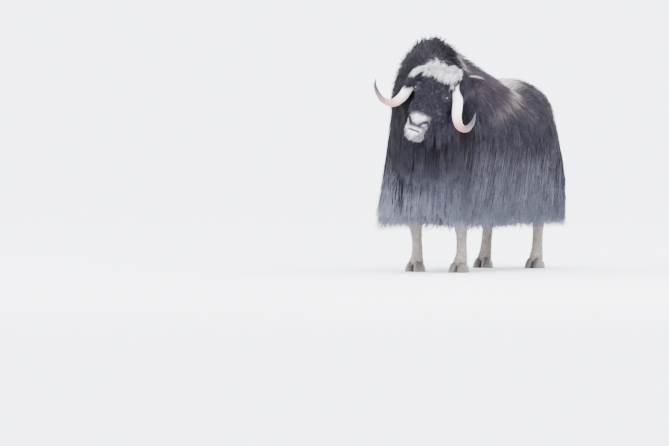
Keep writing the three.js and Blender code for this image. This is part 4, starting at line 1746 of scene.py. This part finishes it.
@dataclass
class ShortCoat(Coat):
    """Short hair that lies on head, legs, ears and tail and grows towards the form's far end."""

    length: float = 0.03
    lift: float = 0.006
    sweep: float = 0.0  # degrees away from straight on
    skin: BVHTree | None = None
    probe: float = 0.012  # metres over the form from which the skin is sought
    sink: float = 0.004  # metres under the skin at which a hair starts

    def run(self, u: Array, turn: Array, dice: Array) -> tuple[Array, Array]:
        """Lay short, nearly straight hairs that rise a little off the skin.

        Args:
            u: Root places along the form.
            turn: Root places round it.
            dice: Eight numbers from -1 to 1 for each hair.

        Returns:
            The middle lines and the outward directions.
        """
        way = np.where(turn < 0, -1.0, 1.0)[:, None]
        base = self.form.layer(u, turn, 0)
        ahead = self.form.span((u, turn), (0.02, 0), 0)
        around = self.form.span((u, turn), (0, 0.03), 0) * way
        angle = np.radians(self.sweep + 16 * dice[:, 2])[:, None]
        heading = unit(unit(ahead) * np.cos(angle) + unit(around) * np.sin(angle))
        out = unit(np.cross(around, ahead) * way)
        flip = np.sign(dots(out, base - self._axis(u)))
        base, out = self._on_skin(base, out * np.where(flip == 0, 1, flip)[:, None])
        heading = unit(heading - out * dots(heading, out)[:, None])
        length = (self.length * self.share_of_length(base) * (1 + 0.35 * dice[:, 1]))[:, None]
        lift = (self.lift * self.share_of_length(base) * (1 + 0.7 * dice[:, 3]))[:, None]
        paths = []
        for share in np.linspace(0, 1, self.rings + 1):
            rising = math.sin(min(share * 1.1, 1) * math.pi / 2)
            paths.append(base + heading * length * share + out * (lift * rising - self.sink * (1 - share)))
        outward = np.repeat(out[:, None], self.rings + 1, axis=1)
        return np.stack(paths, axis=1), outward

    def _on_skin(self, spots: Array, out: Array) -> tuple[Array, Array]:
        """Bring roots onto the finished skin.

        Args:
            spots: Root places on the form.
            out: The form's outward directions there.

        Returns:
            The roots, and the skin's outward directions.
        """
        spots, out = spots.copy(), out.copy()
        for index in range(len(spots)):
            way = Vector(out[index])
            start = Vector(spots[index]) + way * self.probe
            hit, normal, _, _ = self.skin.ray_cast(start, -way, self.probe * 2)
            if hit is not None and normal.dot(way) > 0.2:
                spots[index], out[index] = hit, normal
        return spots, out

    def share_of_length(self, points: Array) -> Array:
        """Return how long the hair is at each root, as a share of the region's own length."""
        return np.ones(len(points))

    def _axis(self, u: Array) -> Array:
        """Return the form's middle line at u."""
        return (self.form.layer(u, np.zeros_like(u), 0) + self.form.layer(u, np.full_like(u, math.pi), 0)) / 2


@dataclass
class FaceCoat(ShortCoat):
    """The face's short hair, which leaves the eyes, the nostrils and the mouth line free."""

    eye_area: Triple = (27, 24, 15)  # millimetres round the lids' opening that stay free
    nostril_area: float = 9
    lip_area: float = 5.5

    def density(self, u: Array, turn: Array) -> Array:
        """Return even hair, thinner behind, where the neck hides it."""
        return 1 - 0.35 * smooth(120, 160, np.degrees(np.abs(turn)))

    def share_of_length(self, points: Array) -> Array:
        """Keep the hair short round eyes, nose and lips, and longer on the chin, the cheeks and the crown.

        Args:
            points: The roots.

        Returns:
            The hair's length at each root, as a share of the region's own length.
        """
        x, y, z = self.anatomy.in_head(points).T
        up_face = np.interp(z, *FACE_LENGTH)
        beside = 0.8 * smooth(38, 62, np.abs(x)) * smooth(-90, -125, z)
        crown = 1.2 * smooth(30, 90, z) * smooth(0, 50, y)
        from_eye = np.linalg.norm(self._from_eye(points), axis=1)
        behind, clear = 1 + 0.6 * smooth(-20, 30, y), 0.3 + 0.7 * smooth(24, 60, from_eye)
        return (up_face + beside + crown) * behind * clear

    def _from_eye(self, points: Array) -> Array:
        """Return the way from the opening of the nearer eye's lids to each point, in millimetres."""
        look = math.radians(EYE_LOOK)
        opening = [EYE_AT[0] + 20 * math.cos(look), EYE_AT[1] - 20 * math.sin(look), EYE_AT[2] + 2]
        x, y, z = self.anatomy.in_head(points).T
        return np.stack([np.abs(x), y, z], axis=1) - np.array(opening)

    def keep(self, points: Array) -> Array:
        """Tell which roots are clear of the eyes, the nostrils and the mouth."""
        head = self.anatomy.in_head(points)
        free = super().keep(points) & (np.linalg.norm(self._from_eye(points) / self.eye_area, axis=1) > 1)
        free &= self.pelt.nostril_gap(head) > self.nostril_area
        return free & (self.pelt.lip_gap(head) > self.lip_area)


@dataclass
class Fringe(Coat):
    """Locks rooted on chosen places of the head, each bent through points of the head's frame."""

    paths_mm: Array = field(default_factory=lambda: np.zeros((0, 5, 3)))
    radius: float = 22  # millimetres round each lock's root
    each: int = 60
    curl: float = 5  # millimetres
    tint: str | None = None  # one colour for all of it, where its place doesn't decide
    tones: tuple[float, float] = (0.86, 1.12)  # how dark and how light whole locks are
    middle: Triple = (0, 30, 0)  # inside the head, so that out is away from it

    def grow(self) -> Strands:
        """Fan tufts round each lock's line.

        Returns:
            All tufts of these locks.
        """
        rng = np.random.default_rng(self.seed)
        locks, knots, _ = self.paths_mm.shape
        count = locks * self.each
        index = np.repeat(np.arange(locks), self.each)
        level = np.linspace(0, 1, knots)
        spots = self.paths_mm[index].copy()
        offset = rng.normal(0, 1, (count, 3)) * self.radius * 0.5
        spots += offset[:, None, :] * (1 - self.gather * level**1.4)[None, :, None]
        swirl = rng.uniform(0, 2 * math.pi, (count, 1))
        waves = (
            np.sin(swirl + 5 * level[None]),
            np.cos(swirl * 1.7 + 6 * level[None]),
            np.sin(swirl + 4 * level[None]),
        )
        spots += np.stack(waves, axis=2) * (self.curl * level[None, :, None])
        stop = rng.uniform(0.72, 1.05, (count, 1, 1))
        spots = spots[:, :1] + (spots - spots[:, :1]) * stop
        paths = self.anatomy.on_head(spots.reshape(-1, 3)).reshape(count, knots, 3)
        outward = unit(paths - self.anatomy.on_head(np.array([self.middle], dtype=float))[0])
        tone = rng.uniform(*self.tones, locks)[index]
        colour = self.colour(paths, tone, rng)
        half = self.half * rng.uniform(0.7, 1.3, count)
        turn = np.arctan2(spots[:, 0, 0], -spots[:, 0, 1])
        spread = np.stack([turn, spots[:, 0, 2]], axis=1)
        return Strands(paths, outward, half, colour, spread, self.root_shade)

    def colour(self, paths: Array, tone: Array, rng: np.random.Generator) -> Array:
        """Colour every knot, by its place or in the fringe's own tint.

        Args:
            paths: The tufts' middle lines.
            tone: How light each tuft's lock is.
            rng: The seeded source of numbers.

        Returns:
            Linear red, green and blue for each knot.
        """
        colour = super().colour(paths[:, 1:], tone, rng)
        colour = np.concatenate([colour[:, :1], colour], axis=1)
        if self.tint is None:
            return colour
        plain = np.broadcast_to(np.array(linear(self.tint)[:3]), colour.shape)
        return plain * (tone * rng.uniform(1 - self.mottle, 1 + self.mottle, len(tone)))[:, None, None]


# Horns, eyes and hooves.


@dataclass
class Horns:
    """The two horns, with growth rings at the root and a smooth tip."""

    anatomy: Anatomy
    finish: HornFinish = HornFinish()
    ring_pitch: float = 16  # millimetres between growth rings
    ring_depth: float = 0.9  # millimetres
    groove_depth: float = 0.35  # millimetres
    grooves: int = 9

    def build(self) -> None:
        """Model both horns."""
        material = self.finish.material()
        for side in Side:
            form, name = self.anatomy.horns[side], f"horn_{side.name.lower()}"
            horn = ball(f"{name}_sheath", 40, 120)
            t, turn = on_ball(read_points(horn))
            along = np.interp(t, form.steps, form.reach) / MM
            ripple = np.sin(2 * math.pi * along / self.ring_pitch + 0.6 * np.sin(2 * turn))
            fade = smooth(0.7, 0.3, t) * self.ring_depth * MM
            groove = self.groove_depth * MM * np.sin(self.grooves * turn) * smooth(0.75, 0.3, t)
            surface = form.points(t, turn, 0)
            out = unit(surface - form.points(t, turn, 0, 4 * MM))
            write_points(horn, surface + out * (fade * ripple * 0.5 + groove - fade * 0.5)[:, None])
            face_outwards(horn)
            store_number(horn, "Along", t)
            round_off(horn)
            place_piece(horn, material, (name,))


@dataclass
class Eyes:
    """Both eyeballs, each with a dark iris and a level pupil."""

    anatomy: Anatomy
    finish: EyeFinish = EyeFinish()
    iris: float = 12.5  # millimetres from the middle of the pupil to the rim of the iris
    pupil: tuple[float, float] = (7.5, 3.4)
    pupil_mark: float = 0.1  # what is stored on the pupil, and at least on the iris
    iris_mark: float = 0.36
    bulge: float = 0.05

    def build(self) -> None:
        """Model both eyes."""
        material = self.finish.material()
        for side in Side:
            name = f"eye_{side.name.lower()}"
            eye = ball(f"{name}_ball", 64, 48)
            points = read_points(eye)
            look = np.array(turned(z=side.value * (90 - EYE_LOOK)).to_3x3())
            ahead = points @ (look @ np.array([0.0, -1.0, 0.0]))
            across = (points @ (look @ np.array([1.0, 0.0, 0.0]))) * EYE_RADIUS
            tall = points[:, 2] * EYE_RADIUS
            slit = np.hypot(across / self.pupil[0], tall / self.pupil[1])
            disc = np.clip(np.hypot(across, tall) / self.iris, self.iris_mark, 1)
            mark = np.where(slit < 1, self.pupil_mark, disc) * (ahead > 0) + (ahead <= 0)
            swell = 1 + self.bulge * smooth(0.75, 1.0, ahead)
            write_points(eye, points * swell[:, None] * EYE_RADIUS * MM)
            at = Matrix.Translation(Vector(on_side(side, EYE_AT)) * MM)
            eye.data.transform(self.anatomy.head_pose @ at)
            store_number(eye, "Gaze", mark)
            round_off(eye)
            place_piece(eye, material, (name,))


@dataclass
class Hooves:
    """Four cloven hooves, flat under the foot."""

    anatomy: Anatomy
    finish: HoofFinish = HoofFinish()
    edge_angle: float = 40  # degrees past which an edge stays sharp

    def build(self) -> None:
        """Model every hoof."""
        material = self.finish.material()
        for limb in LIMBS:
            place_piece(self._hoof(limb), material, (f"hoof_{limb.name}",))

    def _hoof(self, limb: Limb) -> Piece:
        """Model one hoof.

        Args:
            limb: The leg that stands on it.

        Returns:
            Its two claws.
        """
        x, y, *_ = limb.rows()[-1]
        parts = []
        for way in (-1, 1):
            rows = [(x + way * out, y + back, z, *sizes) for out, back, z, *sizes in CLAW]
            claw = shaped(bare_form(rows, AHEAD, self.anatomy.stand), "claw", (32, 40))
            edit_all(claw)
            bpy.ops.mesh.bisect(plane_co=(0, 0, 0), plane_no=(0, 0, 1), clear_inner=True, use_fill=True)
            bpy.ops.object.mode_set(mode="OBJECT")
            parts.append(claw)
        hoof = joined(f"claws_{limb.name}", parts)
        activate(hoof)
        bpy.ops.object.shade_smooth_by_angle(angle=math.radians(self.edge_angle))
        return hoof


# The studio.


@dataclass(frozen=True)
class Panel:
    """A square, soft lamp: its name, its place, its side in metres, its watts and its colour."""

    name: str
    at: Triple
    size: float
    watts: float
    colour: str


PANELS = (
    Panel("key_panel", (3.5, -4.0, 5.0), 5.0, 420, "#fffaf4"),
    Panel("fill_panel", (-5.0, -3.0, 3.5), 5.0, 200, "#eef2ff"),
    Panel("back_panel", (1.0, 6.0, 5.0), 5.0, 150, "#f4f6ff"),
)


@dataclass
class Studio:
    """Floor, soft light and the long lens that sees her from the front left."""

    anatomy: Anatomy
    azimuth: float = 28
    elevation: float = 1.5
    distance: float = 60
    picture: tuple[int, int] = (669, 446)  # the picture's size, in pixels
    pixels_to_metre: float = 180  # at the animal
    ground_spot: tuple[float, float] = (440, 272)  # the pixel of the ground under the withers
    floor_size: float = 1600
    sky: str = "#f3f5fb"
    sky_strength: float = 6.4
    lamp_aim: Triple = (0, 0, 0.7)
    sensor: float = 36

    def build(self) -> None:
        """Set up the floor, the light and the camera."""
        self._floor()
        self._light()
        self._camera()

    def _floor(self) -> None:
        """Lay a wide, pale floor."""
        deselect()
        bpy.ops.mesh.primitive_plane_add(size=self.floor_size, location=(0, 0, 0))
        floor = bpy.context.object
        floor.name = "studio_floor"
        floor.data.materials.append(PaintFinish().material())

    def _light(self) -> None:
        """Light her softly from a pale sky and from large panels overhead."""
        world = bpy.data.worlds.new("pale_sky")
        world.use_nodes = True
        world.node_tree.nodes.clear()
        values = {"Color": linear(self.sky), "Strength": self.sky_strength}
        sky = add_node(world.node_tree, "ShaderNodeBackground", values)
        add_node(world.node_tree, "ShaderNodeOutputWorld", links={"Surface": sky.outputs[0]})
        bpy.context.scene.world = world
        for panel in PANELS:
            lamp = bpy.data.lights.new(panel.name, "AREA")
            lamp.size, lamp.energy, lamp.color = panel.size, panel.watts, linear(panel.colour)[:3]
            hung = bpy.data.objects.new(panel.name, lamp)
            hung.location = panel.at
            aim = Vector(self.lamp_aim) - Vector(panel.at)
            hung.rotation_euler = aim.to_track_quat("-Z", "Y").to_euler()
            bpy.context.scene.collection.objects.link(hung)

    def _camera(self) -> None:
        """Aim a long lens so that she fills the same place in the picture."""
        turn, lift = math.radians(self.azimuth), math.radians(self.elevation)
        aim_right = (self.picture[0] / 2 - self.ground_spot[0]) / self.pixels_to_metre
        aim_height = (self.ground_spot[1] - self.picture[1] / 2) / self.pixels_to_metre
        right = Vector((math.cos(turn), math.sin(turn), 0))
        target = self.anatomy.stand.translation + right * aim_right + Vector((0, 0, aim_height))
        towards = Vector((math.sin(turn) * math.cos(lift), -math.cos(turn) * math.cos(lift), math.sin(lift)))
        lens = bpy.data.cameras.new("long_lens")
        lens.sensor_width = self.sensor
        lens.lens = self.sensor * self.distance / (self.picture[0] / self.pixels_to_metre)
        lens.clip_start, lens.clip_end = 1, 2000
        camera = bpy.data.objects.new("long_lens", lens)
        camera.location = target + towards * self.distance
        camera.rotation_euler = (-towards).to_track_quat("-Z", "Y").to_euler()
        bpy.context.scene.collection.objects.link(camera)
        bpy.context.scene.camera = camera


# Locks and regions, and the assembly.


def forelock_lines(rng: np.random.Generator) -> Array:
    """Lay the woolly locks over the forehead.

    Args:
        rng: The seeded source of numbers.

    Returns:
        Their middle lines, in the head's frame.
    """
    lines = []
    for count, width, root, reach in FORELOCKS:
        for x in np.linspace(-width / 2, width / 2, count):
            x += rng.uniform(-8, 8)
            lean, drop = rng.normal(0, 30), rng.uniform(-34, 24)
            knots = [(x, *root)]
            for k, (y, z) in enumerate(reach, start=1):
                share = k / len(reach)
                out = float(np.clip(x * (1 + 0.3 * share) + lean * share, *FORELOCK_LIMITS))
                knots.append((out, y + rng.uniform(-8, 8), z - drop * share**2 - 0.0026 * out**2))
            lines.append(knots)
    return np.array(lines, dtype=float)


def temple_lines(rng: np.random.Generator, side: Side, reach: float, asides: Array) -> Array:
    """Lay locks beside one horn's root.

    Args:
        rng: The seeded source of numbers.
        side: The horn's side.
        reach: How far down the horn they run.
        asides: Each lock's place across the horn, 0 on its middle.

    Returns:
        Their middle lines, in the head's frame.
    """
    lines = []
    for aside in asides:
        start = rng.uniform(0, 0.35)
        knots = []
        for k in range(5):
            along = (start + k / 4) * reach
            x = 74 + 66 * along**0.8 + 24 * aside
            y = -30 - 18 * along + 24 * max(aside, 0)
            z = 184 - 132 * along
            outward = 10 * math.sin(math.pi * min(k / 3, 1))
            across = side.value * (x + outward) + rng.uniform(-6, 6)
            knots.append((across, y - outward, z + rng.uniform(-7, 7)))
        lines.append(knots)
    return np.array(lines, dtype=float)


def cheek_lines(rng: np.random.Generator, anatomy: Anatomy) -> Array:
    """Lay the long locks that hang from the cheeks and the chin.

    Args:
        rng: The seeded source of numbers.
        anatomy: The forms, for which way is down.

    Returns:
        Their middle lines, in the head's frame.
    """
    down = anatomy.skull.turning.T @ np.array([0.0, 0.0, -1.0])
    lines = []
    for side in Side:
        ends = []
        for row in range(12):
            share = row / 11
            y, z = 78 - 40 * share, 80 - 200 * share
            bend = np.array([side.value * (126 - 40 * share), y - 4, z])
            ends.append(((side.value * 62.0, y, z + 16), bend, 6, (100, 165)))
        for row in range(5):
            bend = np.array([side.value * (10.0 + 10 * row), 62 - 8 * row, -150.0])
            ends.append(((side.value * (8.0 + 9 * row), 30 - 4 * row, -120.0), bend, 5, (80, 140)))
        for root, bend, stray, lengths in ends:
            bend = bend + rng.uniform(-stray, stray, 3)
            length = rng.uniform(*lengths)
            lines.append([np.array(root), *(bend + down * length * k for k in LOCK_FALL)])
    return np.array(lines, dtype=float)


def fringes(anatomy: Anatomy, pelt: Pelt) -> list[Coat]:
    """List the locks on forehead, temples and cheeks.

    Args:
        anatomy: The forms that carry them.
        pelt: Their colours.

    Returns:
        The locks, ready to build.
    """
    rng = np.random.default_rng(77)
    shared = {"slot": "face_hair", "form": anatomy.skull, "anatomy": anatomy, "pelt": pelt, "rings": 4}
    # The wool takes a deeper painted shade at its roots.
    woolly = {"on_head": True, "mottle": 0.2, "sheen_share": 0, "root_shade": 0.25}
    dark = {"on_head": True, "tint": pelt.face, "each": 50, "gather": 0.35}
    edges = np.array([*np.linspace(-1.7, -0.7, 13), *np.linspace(0.75, 1.4, 13)])
    forelock = forelock_lines(rng)
    left = temple_lines(rng, Side.LEFT, 0.4, np.linspace(-0.35, 0.45, 12))
    edge = temple_lines(rng, Side.LEFT, 0.66, edges)
    right = temple_lines(rng, Side.RIGHT, 1.05, np.linspace(-1, 1, 28))
    cheeks = cheek_lines(rng, anatomy)
    return [
        Fringe("coat_forelock", **shared, **woolly, paths_mm=forelock, seed=15, half=0.0015, gather=0.42,
               radius=10, each=46, curl=11, tones=(0.4, 1.2)),
        Fringe("coat_temple_left", **shared, **woolly, paths_mm=left, seed=16, half=0.0016, gather=0.35,
               radius=9, each=36, curl=7, tint=pelt.wool),
        Fringe("coat_horn_edge_left", **shared, **dark, paths_mm=edge, seed=19, half=0.0018, radius=11,
               curl=7),
        Fringe("coat_temple_right", **shared, **dark, paths_mm=right, seed=18, half=0.0019, radius=15,
               curl=8),
        Fringe("coat_cheeks", **shared, paths_mm=cheeks, seed=17, half=0.0026, gather=0.5, radius=20, each=55,
               curl=7, tint=pelt.guard),
    ]


def coats(anatomy: Anatomy, pelt: Pelt, skin: BVHTree) -> list[Coat]:
    """List every region of the coat, from the trunk to the ears.

    Args:
        anatomy: The forms that carry it.
        pelt: Its colours.
        skin: The finished skin, for the short hair's roots.

    Returns:
        The regions, ready to build.
    """
    near = [(anatomy.skull, 0.0, 0.0), *((form, 0.0, 4 * MM) for form in anatomy.horns.values())]
    neck, trunk = (anatomy.neck, SKIN_SHARE, -50 * MM), (anatomy.trunk, SKIN_SHARE, -50 * MM)
    shared = {"anatomy": anatomy, "pelt": pelt}
    regions: list[Coat] = [
        TrunkCoat("coat_trunk", "guard_hair", anatomy.trunk, **shared, count=38500, rings=3, half=0.0031,
                  sheen_share=0, lock_spacing=0.045, gather=0.5, seed=11, reach=(POLE, 0.99),
                  blockers=[neck, *near]),
        NeckCoat("coat_mane", "mane", anatomy.neck, **shared, count=18000, rings=3, half=0.0027,
                 sheen_share=0, lock_spacing=0.035, gather=0.45, seed=12, reach=(0.2, 0.97),
                 blockers=[trunk, *near]),
        FaceCoat("coat_face", "face_hair", anatomy.skull, **shared, count=24000, rings=2, half=0.0014,
                 sheen_share=0.05, lock_spacing=0.014, gather=0.35, seed=13, reach=(0.02, 0.99), on_head=True,
                 length=0.024, lift=0.007, sweep=14, skin=skin, probe=0.03),
        ShortCoat("coat_tail", "guard_hair", anatomy.tail, **shared, count=900, rings=3, half=0.003,
                  gather=0.5, seed=14, reach=(0.1, 0.97), length=0.07, lift=0.012, skin=skin),
        *fringes(anatomy, pelt),
    ]
    short = {**shared, "rings": 2, "sheen_share": 0, "skin": skin}
    for index, (name, leg) in enumerate(anatomy.legs.items()):
        regions.append(
            ShortCoat(f"coat_leg_{name}", "stocking", leg, **short, count=3600, half=0.0014, gather=0.3,
                      lock_spacing=0.016, seed=20 + index, reach=(0.25, 0.955), length=0.034, lift=0.004,
                      mottle=0.12)
        )
    for index, (side, ear) in enumerate(anatomy.ears.items()):
        regions.append(
            ShortCoat(f"coat_ear_{side.name.lower()}", "face_hair", ear, **short, count=2600, half=0.0011,
                      gather=0.4, lock_spacing=0.014, seed=30 + index, reach=(0.05, 0.95), length=0.014,
                      lift=0.005, on_head=True)
        )
    return regions


def main() -> None:
    """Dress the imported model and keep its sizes."""
    logging.basicConfig(level=logging.INFO, format="%(message)s")
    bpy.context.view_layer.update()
    anatomy = Anatomy()
    pelt = Pelt(anatomy)
    Studio(anatomy).build()
    hide = Hide(anatomy, pelt).build()
    Horns(anatomy).build()
    Eyes(anatomy).build()
    Hooves(anatomy).build()
    skin = BVHTree.FromObject(hide, bpy.context.evaluated_depsgraph_get())
    for region in coats(anatomy, pelt, skin):
        region.build()


if __name__ == "__main__":
    main()
